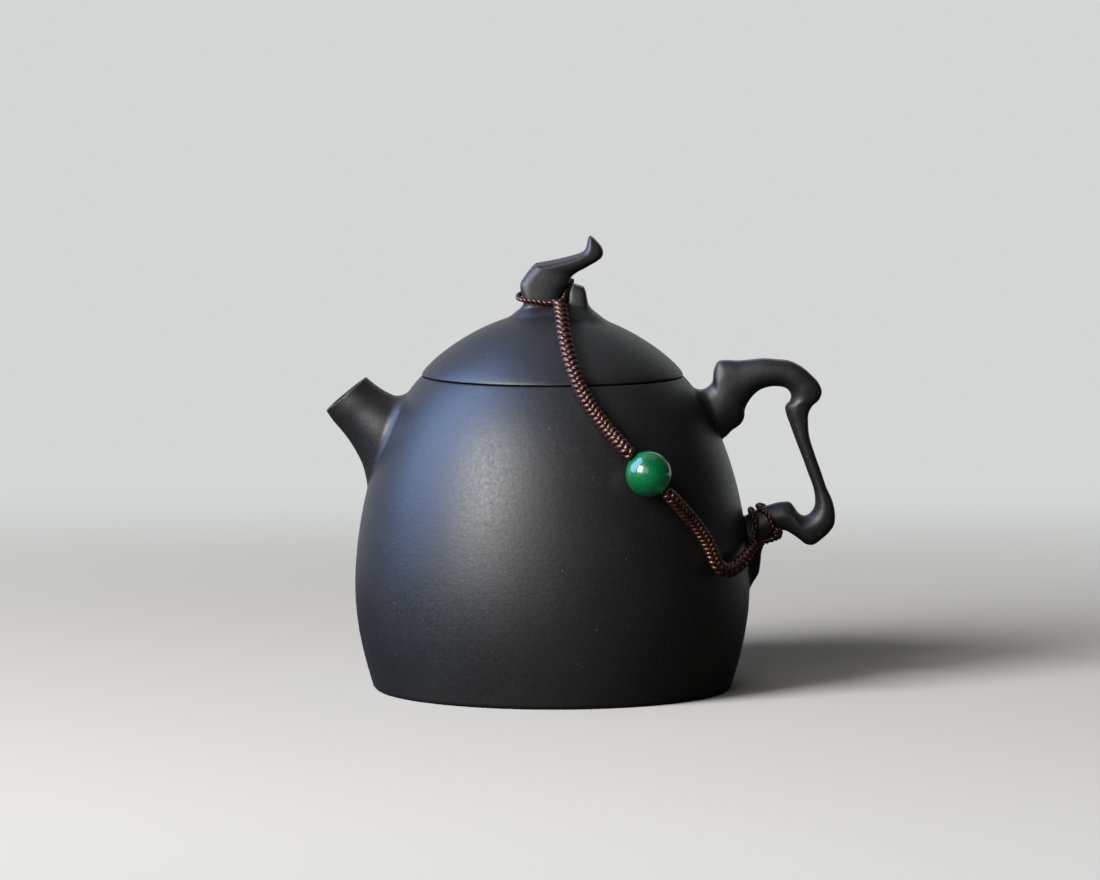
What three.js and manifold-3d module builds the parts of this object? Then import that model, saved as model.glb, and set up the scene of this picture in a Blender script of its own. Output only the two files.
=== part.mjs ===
// A small unglazed clay teapot with a flush domed lid, and a braided cord that ties the lid's knob
// to the handle and carries one stone bead. Millimetres, +Z up, the table at Z = 0. The origin is
// the middle of the underside, the spout points to -X and the handle to +X.

import * as THREE from 'three';
import { mergeVertices } from 'three/addons/utils/BufferGeometryUtils.js';
import Module from 'manifold-3d';

const wasm = await Module();
wasm.setup();

// Pot
const SEAT_HEIGHT = 69.6; // table to the flat ring that the lid rests on
const FOOT_RADIUS = 39.7;
const BELLY_RADIUS = 43.9; // the widest place
const BELLY_HEIGHT = 23.6;
const RIM_RADIUS = 29.1; // outside of the seat
const POT_WALL = 3;
const FLOOR_THICKNESS = 3;
const FOOT_EDGE = 0.5; // small bevel where the pot meets the table
const SEAT_THICKNESS = 2.7;
const SEAT_WIDTH = 4.3; // of the flat ring, from its outside to the mouth

// Lid
const LID_INSET = 0.1; // the lid's edge lies this far inside the seat's outside
const LID_RISE = 14.26; // rim to the top of the dome, under the knob
const LID_WALL = 2.8;
const FLANGE_WALL = 2.5;
const FLANGE_DEPTH = 7.2; // below the seat
const VENT_RADIUS = 0.9;
const VENT_OFFSET = 12.5; // the vent is behind the knob

// Fits
const JOINT_GAP = 0.3; // between pieces of clay that are luted together
const FLANGE_CLEARANCE = 0.4; // on the radius, so that the lid lifts and turns freely
const CORD_GAP = 0.3; // between the end of a cord and what it meets
const LID_RADIUS = RIM_RADIUS - LID_INSET;
const FLANGE_RADIUS = RIM_RADIUS - SEAT_WIDTH - FLANGE_CLEARANCE;

// Spout
const SPOUT_DROP = 12.8; // the seat's height less the height of the spout's root
const SPOUT_BORE = 4.1; // radius at the mouth
const SPOUT_ROOT_BORE = 6.1; // radius at the pot's wall
const STRAINER_RADIUS = 9.2;
const STRAINER_WALL = 1.6;
const STRAINER_HOLE = 0.85; // radius
const STRAINER_SINK = 1.5; // the dome's centre lies this far outside the wall's inner face

// Handle
const HANDLE_DROP = 19.6; // from the seat down to the height at which the upper part is set out
const HANDLE_SPAN = 20; // from there down to the height at which the lower part is set out

// Knob
const NOTCH_HEIGHT = 1.2; // dome top to the bottom of the notch between branch and stub

// Cord
const STRAND = 1; // diameter of the plain twisted cord
const BRAID = 3; // diameter of the braid
const BEAD = 10; // diameter of the bead
const BEAD_BORE = 1.1; // radius
const BEAD_THREAD = 0.7; // radius of the cord's core inside the bead
const KNOT = 2.2; // diameter of the small knot

// Fineness of the faceted solids
const TURN_STEPS = 60;
const WALL_STEPS = 12;
const DOME_STEPS = 13;
const STRAND_SIDES = 6;
const LOOP_STEPS = 24;

const clay = new THREE.MeshStandardMaterial({ color: 0x2b2c30, roughness: 0.55, metalness: 0 });
const bareClay = new THREE.MeshStandardMaterial({ color: 0x303034, roughness: 0.7, metalness: 0 });
const cordage = new THREE.MeshStandardMaterial({ color: 0x4a231d, roughness: 0.6, metalness: 0 });
const stone = new THREE.MeshStandardMaterial({ color: 0x0c6b3f, roughness: 0.1, metalness: 0 });

const teapot = new THREE.Group();

function place(name, geometry, material) {
  const mesh = new THREE.Mesh(geometry, material);
  mesh.name = name;
  teapot.add(mesh);
  return mesh;
}

// Booleans

function enclosedVolume(position, index) {
  const [a, b, c] = [0, 1, 2].map(() => new THREE.Vector3());
  let sum = 0;
  for (let i = 0; i < index.length; i += 3) {
    a.fromBufferAttribute(position, index[i]);
    b.fromBufferAttribute(position, index[i + 1]);
    c.fromBufferAttribute(position, index[i + 2]);
    sum += a.dot(b.cross(c)) / 6;
  }
  return sum;
}

// The closed surface with shared corners, no empty triangles, and its faces pointing out.
function tidied(geometry) {
  const bare = geometry.clone();
  bare.deleteAttribute('normal');
  bare.deleteAttribute('uv');
  const merged = mergeVertices(bare, 1e-4);
  const kept = [];
  const corners = merged.index.array;
  for (let i = 0; i < corners.length; i += 3) {
    const [a, b, c] = corners.slice(i, i + 3);
    if (a !== b && b !== c && c !== a) kept.push(a, b, c);
  }
  if (enclosedVolume(merged.attributes.position, kept) < 0) kept.reverse();
  merged.setIndex(kept);
  return merged;
}

function solid(geometry) {
  const merged = tidied(geometry);
  const vertProperties = merged.attributes.position.array;
  const triVerts = new Uint32Array(merged.index.array);
  return new wasm.Manifold(new wasm.Mesh({ numProp: 3, vertProperties, triVerts }));
}

function surface(body) {
  const { vertProperties, triVerts } = body.getMesh();
  const geometry = new THREE.BufferGeometry();
  geometry.setAttribute('position', new THREE.BufferAttribute(vertProperties, 3));
  geometry.setIndex(new THREE.BufferAttribute(triVerts, 1));
  const flat = geometry.toNonIndexed();
  flat.computeVertexNormals();
  return flat;
}

// Outlines turned on the wheel, as points of radius and height

function point(r, z) {
  return new THREE.Vector2(r, z);
}

function softCurve(points, steps) {
  const [a, b, c, d] = points.map(([r, z]) => new THREE.Vector2(r, z));
  return new THREE.CubicBezierCurve(a, b, c, d).getPoints(steps);
}

function potOutline(steps) {
  const rise = SEAT_HEIGHT - BELLY_HEIGHT;
  const draw = BELLY_RADIUS - RIM_RADIUS;
  const lower = [
    [FOOT_RADIUS, 0],
    [FOOT_RADIUS + 0.52 * (BELLY_RADIUS - FOOT_RADIUS), 0.3 * BELLY_HEIGHT],
    [BELLY_RADIUS, 0.6 * BELLY_HEIGHT],
    [BELLY_RADIUS, BELLY_HEIGHT],
  ];
  const upper = [
    [BELLY_RADIUS, BELLY_HEIGHT],
    [BELLY_RADIUS, BELLY_HEIGHT + 0.243 * rise],
    [RIM_RADIUS + 0.763 * draw, BELLY_HEIGHT + 0.74 * rise],
    [RIM_RADIUS, SEAT_HEIGHT],
  ];
  return [...softCurve(lower, steps), ...softCurve(upper, 2 * steps).slice(1)];
}

function domeOutline(steps) {
  const low = SEAT_HEIGHT + JOINT_GAP;
  const points = [
    [LID_RADIUS, low],
    [LID_RADIUS + 0.1, low + 0.12 * LID_RISE],
    [0.528 * LID_RADIUS, low + LID_RISE],
    [0, low + LID_RISE],
  ];
  return softCurve(points, steps);
}

// The outline moved square to itself, outwards where the distance is positive.
function offsetOutline(points, distance) {
  return points.map((point, i) => {
    const before = points[Math.max(i - 1, 0)];
    const after = points[Math.min(i + 1, points.length - 1)];
    const along = after.clone().sub(before).normalize();
    const outwards = new THREE.Vector2(along.y, -along.x);
    return point.clone().addScaledVector(outwards, distance);
  });
}

function radiusAt(points, height) {
  const i = points.findIndex((point, n) => n > 0 && (point.y >= height || n === points.length - 1));
  const [low, high] = [points[i - 1], points[i]];
  const share = (height - low.y) / (high.y - low.y);
  return low.x + share * (high.x - low.x);
}

// Numbers from start to end at even steps.
function evenly(start, end, steps) {
  return Array.from({ length: steps + 1 }, (_, i) => THREE.MathUtils.lerp(start, end, i / steps));
}

// Points of an outline between two heights, at even steps of height.
function stretch(points, from, to, steps) {
  return evenly(from, to, steps).map((height) => point(radiusAt(points, height), height));
}

function turned(points) {
  const first = points[0];
  const last = points[points.length - 1];
  const ring = first.x > 0 || last.x > 0 ? [...points, first.clone()] : points;
  return new THREE.LatheGeometry(ring, TURN_STEPS).rotateX(Math.PI / 2);
}

const FINE = 60;
const potOuter = potOutline(FINE);
const potInner = offsetOutline(potOuter, -POT_WALL);
const DOME_TOP = SEAT_HEIGHT + JOINT_GAP + LID_RISE;

// The filled space inside the pot's outline, grown by a distance, from a low to a high place.
function filledPot(points, distance, low, high) {
  const side = stretch(offsetOutline(points, distance), low, high, 2 * WALL_STEPS);
  return solid(turned([point(0, low), ...side, point(0, high)]));
}

// The filled space under the lid's dome, moved square to itself by a distance, down to a floor.
function filledDome(distance, floor) {
  const roof = offsetOutline(domeOutline(DOME_STEPS), distance).filter(({ y }) => y > floor);
  const top = roof[roof.length - 1].y;
  return solid(turned([point(0, floor), point(roof[0].x, floor), ...roof, point(0, top)]));
}

// Pot: floor, wall and seat

function basePlate() {
  const side = stretch(potOuter, FOOT_EDGE, FLOOR_THICKNESS, 2);
  const profile = [point(0, 0), point(FOOT_RADIUS - FOOT_EDGE, 0), ...side, point(0, FLOOR_THICKNESS)];
  return turned(profile);
}

function bodyWall() {
  const low = FLOOR_THICKNESS + JOINT_GAP;
  const high = SEAT_HEIGHT - SEAT_THICKNESS - JOINT_GAP;
  const outside = stretch(potOuter, low, high, WALL_STEPS);
  const inside = stretch(potInner, low, high, WALL_STEPS).reverse();
  return solid(turned([...outside, ...inside])).subtract(spoutBore());
}

function mouthRing() {
  const low = SEAT_HEIGHT - SEAT_THICKNESS;
  const inner = RIM_RADIUS - SEAT_WIDTH;
  const outside = stretch(potOuter, low, SEAT_HEIGHT, 2);
  return turned([...outside, point(inner, SEAT_HEIGHT), point(inner, low)]);
}

// Shapes carved by hand: rings strung between two edges that lie in the pot's middle plane.
// Each station holds the first edge's X and Z, the second edge's X and Z, and half the depth in Y.

function squared(value, squareness) {
  return Math.sign(value) * Math.abs(value) ** (2 / squareness);
}

function loft(stations, { rings, sides, squareness }) {
  const curve = (pick) => new THREE.CatmullRomCurve3(stations.map(pick), false, 'centripetal');
  const first = curve(([x, z]) => new THREE.Vector3(x, 0, z));
  const second = curve(([, , x, z]) => new THREE.Vector3(x, 0, z));
  const depth = curve(([, , , , y], i) => new THREE.Vector3(i, y, 0));
  const positions = [];
  for (let i = 0; i <= rings; i++) {
    const a = first.getPoint(i / rings);
    const b = second.getPoint(i / rings);
    const half = a.clone().sub(b).multiplyScalar(0.5);
    const middle = a.clone().add(b).multiplyScalar(0.5);
    for (let j = 0; j < sides; j++) {
      const angle = (2 * Math.PI * j) / sides;
      const corner = middle.clone().addScaledVector(half, squared(Math.cos(angle), squareness));
      corner.y = depth.getPoint(i / rings).y * squared(Math.sin(angle), squareness);
      positions.push(...corner.toArray());
    }
  }
  return new THREE.BufferGeometry()
    .setAttribute('position', new THREE.Float32BufferAttribute(positions, 3))
    .setIndex(skin(rings, sides));
}

// Triangles over a stack of rings, with a fan over each end.
function skin(rings, sides) {
  const index = [];
  for (let i = 0; i < rings; i++) {
    for (let j = 0; j < sides; j++) {
      const [a, b] = [i * sides + j, i * sides + ((j + 1) % sides)];
      index.push(a, b, b + sides, a, b + sides, a + sides);
    }
  }
  const end = rings * sides;
  for (let j = 1; j < sides - 1; j++) {
    index.push(0, j + 1, j);
    index.push(end, end + j, end + j + 1);
  }
  return index;
}

function moved(stations, x, z) {
  return stations.map(([ax, az, bx, bz, y]) => [ax + x, az + z, bx + x, bz + z, y]);
}

// Spout: a short cone that flares down into the belly. Stations are set out from the place where
// its axis meets the wall: upper edge, lower edge, half depth.

const SPOUT_Z = SEAT_HEIGHT - SPOUT_DROP;
const SPOUT_X = -radiusAt(potOuter, SPOUT_Z);
const SPOUT_MOUTH = new THREE.Vector3(SPOUT_X - 8.7, 0, SPOUT_Z + 8.85);
const SPOUT_INWARDS = new THREE.Vector3(0.728, 0, -0.686).normalize();
const BORE_LENGTH = 15.6; // mouth to the wall's inner face, along the axis

const SPOUT_STATIONS = [
  [-4.25, 12.55, -13.15, 5.15, 5.75],
  [-2.5, 11.1, -11.65, 2.95, 6.1],
  [-0.5, 9.7, -9.8, 0.8, 6.4],
  [1.6, 8.6, -8.1, -1.4, 6.9],
  [4, 7.6, -6.5, -4, 7.5],
  [6.6, 6.8, -5.1, -6.9, 8],
  [9.7, 6, -4.3, -10, 8.4],
  [13.2, 5.2, -3.8, -13.3, 8.6],
];

// A round bar between two places on a line, with a radius at each.
function bar(start, direction, from, to, radiusFrom, radiusTo, sides) {
  const geometry = new THREE.CylinderGeometry(radiusTo, radiusFrom, to - from, sides);
  const turn = new THREE.Quaternion().setFromUnitVectors(new THREE.Vector3(0, 1, 0), direction);
  const middle = start.clone().addScaledVector(direction, (from + to) / 2);
  return geometry.applyQuaternion(turn).translate(...middle.toArray());
}

function spoutBore() {
  const growth = (SPOUT_ROOT_BORE - SPOUT_BORE) / BORE_LENGTH;
  const [from, to] = [-4, BORE_LENGTH + 3];
  const radius = (t) => SPOUT_BORE + growth * t;
  return solid(bar(SPOUT_MOUTH, SPOUT_INWARDS, from, to, radius(from), radius(to), 24));
}

function spout() {
  const stations = moved(SPOUT_STATIONS, SPOUT_X, SPOUT_Z);
  const outside = loft(stations, { rings: 12, sides: 24, squareness: 2 });
  return solid(outside).subtract(filledPot(potOuter, JOINT_GAP, 0, SEAT_HEIGHT)).subtract(spoutBore());
}

// Strainer: a thin pierced dome over the spout's hole, inside the pot

function strainerCentre() {
  const hole = SPOUT_MOUTH.clone().addScaledVector(SPOUT_INWARDS, BORE_LENGTH);
  return hole.add(new THREE.Vector3(-STRAINER_SINK, 0, 0.45 * STRAINER_SINK));
}

function strainer() {
  const centre = strainerCentre();
  const ball = (radius) => solid(new THREE.SphereGeometry(radius, 20, 12).translate(...centre.toArray()));
  const cavity = filledPot(potInner, -JOINT_GAP, FLOOR_THICKNESS, SEAT_HEIGHT - SEAT_THICKNESS - 1);
  let dome = ball(STRAINER_RADIUS).subtract(ball(STRAINER_RADIUS - STRAINER_WALL)).intersect(cavity);
  for (const direction of strainerHoles()) {
    const drill = bar(centre, direction, 3, STRAINER_RADIUS + 2, STRAINER_HOLE, STRAINER_HOLE, 6);
    dome = dome.subtract(solid(drill));
  }
  return dome;
}

// One hole in the middle, six round it and twelve round those.
function strainerHoles() {
  const middle = new THREE.Vector3(0.92, 0, -0.39).normalize();
  const side = new THREE.Vector3(0, 1, 0);
  const rows = [
    { count: 1, tilt: 0 },
    { count: 6, tilt: 0.42 },
    { count: 12, tilt: 0.84 },
  ];
  return rows.flatMap(({ count, tilt }) =>
    Array.from({ length: count }, (_, i) =>
      middle
        .clone()
        .applyAxisAngle(side, tilt)
        .applyAxisAngle(middle, (2 * Math.PI * i) / count),
    ),
  );
}

// Handle: a carved branch. Stations run from the upper root round to the tail of the lower root:
// outer edge, inner edge, half depth. Those of the upper part are set out from the wall at one
// height, and those of the lower part from the wall at another, so the roots follow the wall.

const HANDLE_Z = SEAT_HEIGHT - HANDLE_DROP;
const HANDLE_X = radiusAt(potOuter, HANDLE_Z);
const FOOT_Z = HANDLE_Z - HANDLE_SPAN;
const FOOT_X = radiusAt(potOuter, FOOT_Z);

const HANDLE_STATIONS = [
  [-9.2, 14.4, -5.1, 5.1, 4.6],
  [-6, 16.4, -1.5, 5.9, 4.5],
  [-4.2, 18, 0.2, 7.5, 4.4],
  [-3.8, 20.8, 2.1, 8.9, 4.3],
  [-2.8, 22.7, 2.9, 10.3, 4.2],
  [-1, 23, 3.1, 12.2, 4.1],
  [1.5, 22.9, 3.8, 13.8, 4],
  [4.1, 23.1, 5.1, 15.5, 3.9],
  [7.3, 23.4, 6.7, 16.7, 3.8],
  [10.1, 23.2, 8.9, 17.3, 3.7],
  [12.9, 22.9, 10.8, 17.3, 3.6],
  [15.5, 21.7, 12.2, 16.9, 3.6],
  [17.8, 19.8, 13, 16.1, 3.5],
  [19.5, 17.9, 13.3, 15.1, 3.5],
  [20.1, 16.2, 13, 14, 3.4],
  [19.4, 14.3, 12.3, 13.3, 3.3],
  [18.1, 13.1, 12, 12.6, 3.1],
  [17.2, 11.4, 12.3, 11, 2.9],
  [17.1, 9.3, 13.1, 8.8, 2.7],
  [17.4, 6.2, 14.3, 5.5, 2.6],
  [18.7, 2, 15.9, 1.4, 2.5],
];

const FOOT_STATIONS = [
  [16.1, 18.3, 13.2, 18, 2.5],
  [17.3, 14.8, 14.4, 14.7, 2.6],
  [18.6, 11.9, 14.8, 12.2, 2.9],
  [19.2, 9, 14.7, 10.6, 3.2],
  [19, 6.6, 13.9, 9.2, 3.4],
  [18, 5, 12.9, 8.5, 3.5],
  [16.3, 3.4, 12, 8.5, 3.5],
  [14.4, 2.1, 11.2, 9, 3.5],
  [12.8, 2.2, 10.6, 9.7, 3.5],
  [11.3, 3.3, 10, 10.6, 3.5],
  [9.6, 4.5, 9.2, 11.4, 3.4],
  [7.9, 5.3, 7.9, 11.5, 3.4],
  [6.4, 5.4, 6.4, 11.3, 3.3],
  [4.6, 4.9, 4.6, 10.8, 3.3],
  [3.4, 3.7, 2.9, 10.2, 3.3],
  [2.8, 1.4, 1, 9.4, 3.4],
  [2.7, -1.5, -0.7, 8.3, 3.4],
  [2.2, -4.4, -2.1, 6.5, 3.3],
  [0.6, -6.7, -3.9, 3.8, 3.1],
];

function handle() {
  const stations = [...moved(HANDLE_STATIONS, HANDLE_X, HANDLE_Z), ...moved(FOOT_STATIONS, FOOT_X, FOOT_Z)];
  const branch = loft(stations, { rings: 58, sides: 14, squareness: 2.6 });
  return solid(branch).subtract(filledPot(potOuter, JOINT_GAP, 0, SEAT_HEIGHT));
}

// Lid: dome and flange

function lidDome() {
  const low = SEAT_HEIGHT + JOINT_GAP;
  const outside = domeOutline(DOME_STEPS);
  const inside = offsetOutline(outside, -LID_WALL).filter(({ y }) => y > low);
  const rim = point(inside[0].x, low);
  const profile = [...outside, ...inside.reverse(), rim];
  const vent = new THREE.CylinderGeometry(VENT_RADIUS, VENT_RADIUS, LID_RISE * 2, 12);
  vent.rotateX(Math.PI / 2).translate(0, VENT_OFFSET, DOME_TOP);
  return solid(turned(profile)).subtract(solid(vent));
}

function lidFlange() {
  const low = SEAT_HEIGHT - FLANGE_DEPTH;
  const inner = FLANGE_RADIUS - FLANGE_WALL;
  const corners = [
    point(FLANGE_RADIUS, low),
    point(FLANGE_RADIUS, DOME_TOP),
    point(inner, DOME_TOP),
    point(inner, low),
  ];
  return solid(turned(corners)).intersect(filledDome(-LID_WALL - JOINT_GAP, 0));
}

// Knob: a cut stub on the right, and a branch that rises on the left, bends over the stub and turns
// up at its tip. Stations are set out from the top of the dome: left edge, right edge, half depth.

const NECK_STATIONS = [
  [-9.6, -2.2, 10.6, -2.2, 6],
  [-8.3, -0.75, 9.3, -0.75, 5.3],
  [-6.9, 0.55, 8.4, 0.45, 4.8],
  [-6.5, NOTCH_HEIGHT, 8.1, NOTCH_HEIGHT, 4.5],
];

const BRANCH_STATIONS = [
  [-6.4, NOTCH_HEIGHT - 1, 0.9, NOTCH_HEIGHT - 1, 4.3],
  [-6.4, NOTCH_HEIGHT + 0.8, 1.1, NOTCH_HEIGHT + 1.1, 4.3],
  [-6.8, 3.7, 1.75, 3.85, 4.3],
  [-7.15, 5.1, 2.6, 5.25, 4.2],
  [-7.1, 6.2, 3.15, 6.45, 4.2],
  [-6, 7.9, 3.7, 7.5, 4.1],
  [-4.15, 10, 4.5, 8.15, 4],
  [-2.4, 10.95, 5.9, 8.9, 3.8],
  [0.3, 11.3, 7.4, 9.7, 3.6],
  [3, 12, 8.9, 10.55, 3.4],
  [5.3, 12.6, 10.2, 11.45, 3.1],
  [6.9, 13.4, 11, 12.25, 2.8],
  [7.6, 14.25, 11.2, 13.15, 2.5],
  [7.85, 15.35, 10.7, 14.35, 2.1],
  [8.05, 16.15, 9.6, 15.55, 1.4],
];

const STUB_STATIONS = [
  [2.9, NOTCH_HEIGHT - 1, 8.2, NOTCH_HEIGHT - 1, 4],
  [3.15, NOTCH_HEIGHT + 1.35, 7.85, NOTCH_HEIGHT + 0.85, 3.8],
  [3.8, 4.15, 7.5, 3.45, 3.5],
  [4.75, 5.75, 7.05, 5.15, 3],
];

function lidKnob() {
  const carve = (stations, rings) =>
    solid(loft(moved(stations, 0, DOME_TOP), { rings, sides: 16, squareness: 2.8 }));
  const joined = carve(NECK_STATIONS, 5).add(carve(BRANCH_STATIONS, 24)).add(carve(STUB_STATIONS, 4));
  return joined.subtract(filledDome(JOINT_GAP, SEAT_HEIGHT));
}

// Cords. A section with the given sides is drawn along a curve.

function cordAlong(curve, diameter, sides, steps) {
  const section = new THREE.Shape(
    Array.from({ length: sides }, (_, i) => {
      const angle = (2 * Math.PI * i) / sides;
      return point(Math.cos(angle) * diameter, Math.sin(angle) * diameter).multiplyScalar(0.5);
    }),
  );
  return new THREE.ExtrudeGeometry(section, { steps, bevelEnabled: false, extrudePath: curve });
}

function route(points) {
  return new THREE.CatmullRomCurve3(points.map((p) => new THREE.Vector3(...p)));
}

// The braid from the knob's loop down over the lid and the shoulder to the bead.
const UPPER_ROUTE = [
  [1.5, -6.5, 86.3],
  [1.6, -8.4, 85.5],
  [1.8, -11, 84.4],
  [2, -14.6, 82.9],
  [2.3, -18.6, 80.9],
  [2.8, -22.1, 78.8],
  [3.3, -24.8, 76.8],
  [3.9, -27.2, 74.8],
  [4.6, -29.1, 72.8],
  [5.4, -30.6, 70.8],
  [6.3, -31.9, 68.9],
  [7.4, -33, 67],
  [8.6, -33.9, 65.2],
  [9.9, -34.8, 63.4],
  [11.3, -35.7, 61.7],
  [12.7, -36.9, 60.1],
  [14, -38.3, 58.8],
  [15.2, -39.5, 57.5],
  [16.2, -40.1, 56.4],
  [17.1, -40.1, 55.4],
];

// The braid from the bead down the belly, round its bend and out to the handle's lower arm.
const LOWER_ROUTE = [
  [24.5, -39.3, 47.8],
  [25.3, -39.3, 46.9],
  [26.3, -38.5, 45.9],
  [27.4, -37.3, 44.6],
  [28.5, -35.9, 43.2],
  [29.6, -34.4, 41.8],
  [30.7, -33.1, 40.4],
  [31.8, -32.1, 38.9],
  [32.8, -31.2, 37.3],
  [33.8, -30.4, 35.6],
  [34.6, -29.7, 33.9],
  [35.2, -29.1, 32.2],
  [36, -28.2, 30.5],
  [37.3, -26.7, 29.3],
  [39, -24.2, 29],
  [40.7, -21.2, 29.6],
  [42.1, -17.9, 30.6],
  [43.3, -14.3, 31.6],
  [44.3, -10.9, 32.4],
  [45.1, -8.4, 33],
];

const BEAD_CENTRE = new THREE.Vector3(20.8, -39.7, 51.6);
const BEAD_AXIS = new THREE.Vector3(0.69, 0.067, -0.72).normalize();

// The end of a loop, square to the end of a braid: the place next to the braid's end face, off its
// middle, and the place one diameter on.
function meeting(endOfBraid, offMiddle) {
  const [before, end] = endOfBraid.map((p) => new THREE.Vector3(...p));
  const onwards = end.clone().sub(before).normalize();
  const first = end.clone().addScaledVector(onwards, CORD_GAP).add(new THREE.Vector3(...offMiddle));
  return [first, first.clone().addScaledVector(onwards, STRAND)];
}

// One loop round the branch, set out from the top of the dome: from the braid round the left and the
// back, then down through the notch, between the branch and the stub, and back to the braid.
const KNOB_LOOP_ROUTE = [
  [-0.7, -5.1, 1.95],
  [-2.6, -5.1, 2.1],
  [-4.6, -5, 2.4],
  [-6.3, -4.3, 2.65],
  [-7.3, -2.7, 2.85],
  [-7.6, -0.5, 3],
  [-7.4, 1.9, 3.3],
  [-6.2, 4, 3.8],
  [-3.6, 5, 4.5],
  [-0.8, 5.1, 5.2],
  [1.9, 4.9, 5.8],
  [3.6, 4.1, 6.25],
  [4.3, 2.6, 6.4],
  [4.05, 1.1, 6.05],
  [3.55, -0.6, 5.2],
  [3.05, -2.3, 4.2],
  [2.7, -3.8, 3.3],
  [2.5, -4.9, 2.7],
];

function knobLoopCurve() {
  const loop = KNOB_LOOP_ROUTE.map(([x, y, z]) => new THREE.Vector3(x, y, DOME_TOP + z));
  const braid = [UPPER_ROUTE[1], UPPER_ROUTE[0]];
  const fromBraid = meeting(braid, [-0.9, 0, 0]);
  const toBraid = meeting(braid, [0.9, 0, 0]).reverse();
  return new THREE.CatmullRomCurve3([...fromBraid, ...loop, ...toBraid]);
}

// Two turns round the handle's lower arm. Each crosses the top of the arm near the pot, and leans
// out along it underneath. The first starts from the braid, and the second comes back to it.
const ARM_X = FOOT_X + 0.3;
const ARM_Z = FOOT_Z + 7.5;
const FIRST_ANGLE = -75; // degrees, round the arm from the pot's front towards its top

function handleLoopPoint(turn) {
  const angle = THREE.MathUtils.degToRad(FIRST_ANGLE + 360 * turn);
  const [halfDepth, squareness] = [4.6, 3];
  const under = (1 - Math.sin(angle)) / 2;
  const head = 0.1 + 1.6 * (turn - 0.46);
  const foot = 2.3 + 2.8 * THREE.MathUtils.smoothstep(turn, 0.6, 1.1) + Math.max(0, turn - 1);
  const height = Math.sin(angle) > 0 ? 2.2 + 0.9 * (turn - 0.46) : 3.7;
  const x = ARM_X + head + (foot - head) * under;
  const y = -halfDepth * squared(Math.cos(angle), squareness);
  return new THREE.Vector3(x, y, ARM_Z + height * squared(Math.sin(angle), squareness));
}

// The way from under the arm back to the braid, in front of the lobe below the arm.
const LOOP_RETURN = [
  [50.3, -3.3, 34.1],
  [50.1, -4.9, 33.8],
  [49.2, -5.8, 33.4],
  [48.1, -6.2, 33.1],
  [47.1, -6.6, 33],
];

function handleLoopCurve() {
  const [start, end, steps] = [0.17, 1.96, 2 * LOOP_STEPS - 6];
  const turns = evenly(start, end, steps).map(handleLoopPoint);
  const braid = LOWER_ROUTE.slice(-2);
  const fromBraid = [...meeting(braid, [-0.75, 0.17, 0.28]), new THREE.Vector3(44.8, -5.6, 34.8)];
  const back = LOOP_RETURN.map((p) => new THREE.Vector3(...p));
  const toBraid = meeting(braid, [0.75, -0.17, -0.28]).reverse();
  return new THREE.CatmullRomCurve3([...fromBraid, ...turns, ...back, ...toBraid]);
}

// The least gap between turns: places closer than two diameters along the cord are left out.
function leastGapToItself(curve, diameter) {
  const points = curve.getSpacedPoints(240);
  const spacing = curve.getLength() / 240;
  const apart = Math.ceil((2.2 * diameter) / spacing);
  let least = Infinity;
  points.forEach((p, i) => {
    for (let j = i + apart; j < points.length; j++) {
      least = Math.min(least, p.distanceTo(points[j]) - diameter);
    }
  });
  return least;
}

function bead() {
  const radius = BEAD / 2;
  const from = Math.asin(BEAD_BORE / radius);
  const arc = evenly(from, Math.PI - from, 12).map((angle) =>
    point(radius * Math.sin(angle), -radius * Math.cos(angle)),
  );
  return new THREE.LatheGeometry([...arc, arc[0].clone()], 24);
}

// Assembly

place('base_plate', basePlate(), bareClay);
place('body_wall', surface(bodyWall()), clay);
place('mouth_ring', mouthRing(), bareClay);
place('spout', surface(spout()), clay);
place('strainer', surface(strainer()), bareClay);
place('handle', surface(handle()), clay);
place('lid_dome', surface(lidDome()), clay);
place('lid_flange', surface(lidFlange()), bareClay);
place('lid_knob', surface(lidKnob()), clay);

const knobLoop = knobLoopCurve();
const handleLoop = handleLoopCurve();
place('knob_loop', cordAlong(knobLoop, STRAND, STRAND_SIDES, LOOP_STEPS + 6), cordage);
place('handle_loop', cordAlong(handleLoop, STRAND, STRAND_SIDES, 2 * LOOP_STEPS + 8), cordage);
place('upper_braid', cordAlong(route(UPPER_ROUTE), BRAID, 8, 10), cordage);
place('lower_braid', cordAlong(route(LOWER_ROUTE), BRAID, 8, 12), cordage);

const beadTurn = new THREE.Quaternion().setFromUnitVectors(new THREE.Vector3(0, 1, 0), BEAD_AXIS);
for (const [name, geometry, material] of [
  ['bead', bead(), stone],
  ['bead_thread', new THREE.CylinderGeometry(BEAD_THREAD, BEAD_THREAD, BEAD, 10), cordage],
]) {
  const mesh = place(name, geometry, material);
  mesh.position.copy(BEAD_CENTRE);
  mesh.quaternion.copy(beadTurn);
}

const knot = place('handle_knot', new THREE.SphereGeometry(KNOT / 2, 10, 8), cordage);
knot.position.set(50, -6.6, 35.1);

for (const [name, curve] of [
  ['knob_loop', knobLoop],
  ['handle_loop', handleLoop],
]) {
  console.log(name, 'least gap to itself', leastGapToItself(curve, STRAND).toFixed(2), 'mm');
}

export default teapot;
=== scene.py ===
"""A small unglazed clay teapot with a flush domed lid, a knob and a handle carved like branches,
and a braided cord with one stone bead that ties the knob to the handle.

The packed model is loaded as a fixed frame, in metres, +Z up, with the pot's foot at Z = 0, the
spout towards -X and the handle towards +X. Sizes below are in millimetres unless they say
otherwise, and are those of the frame.
"""

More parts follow.
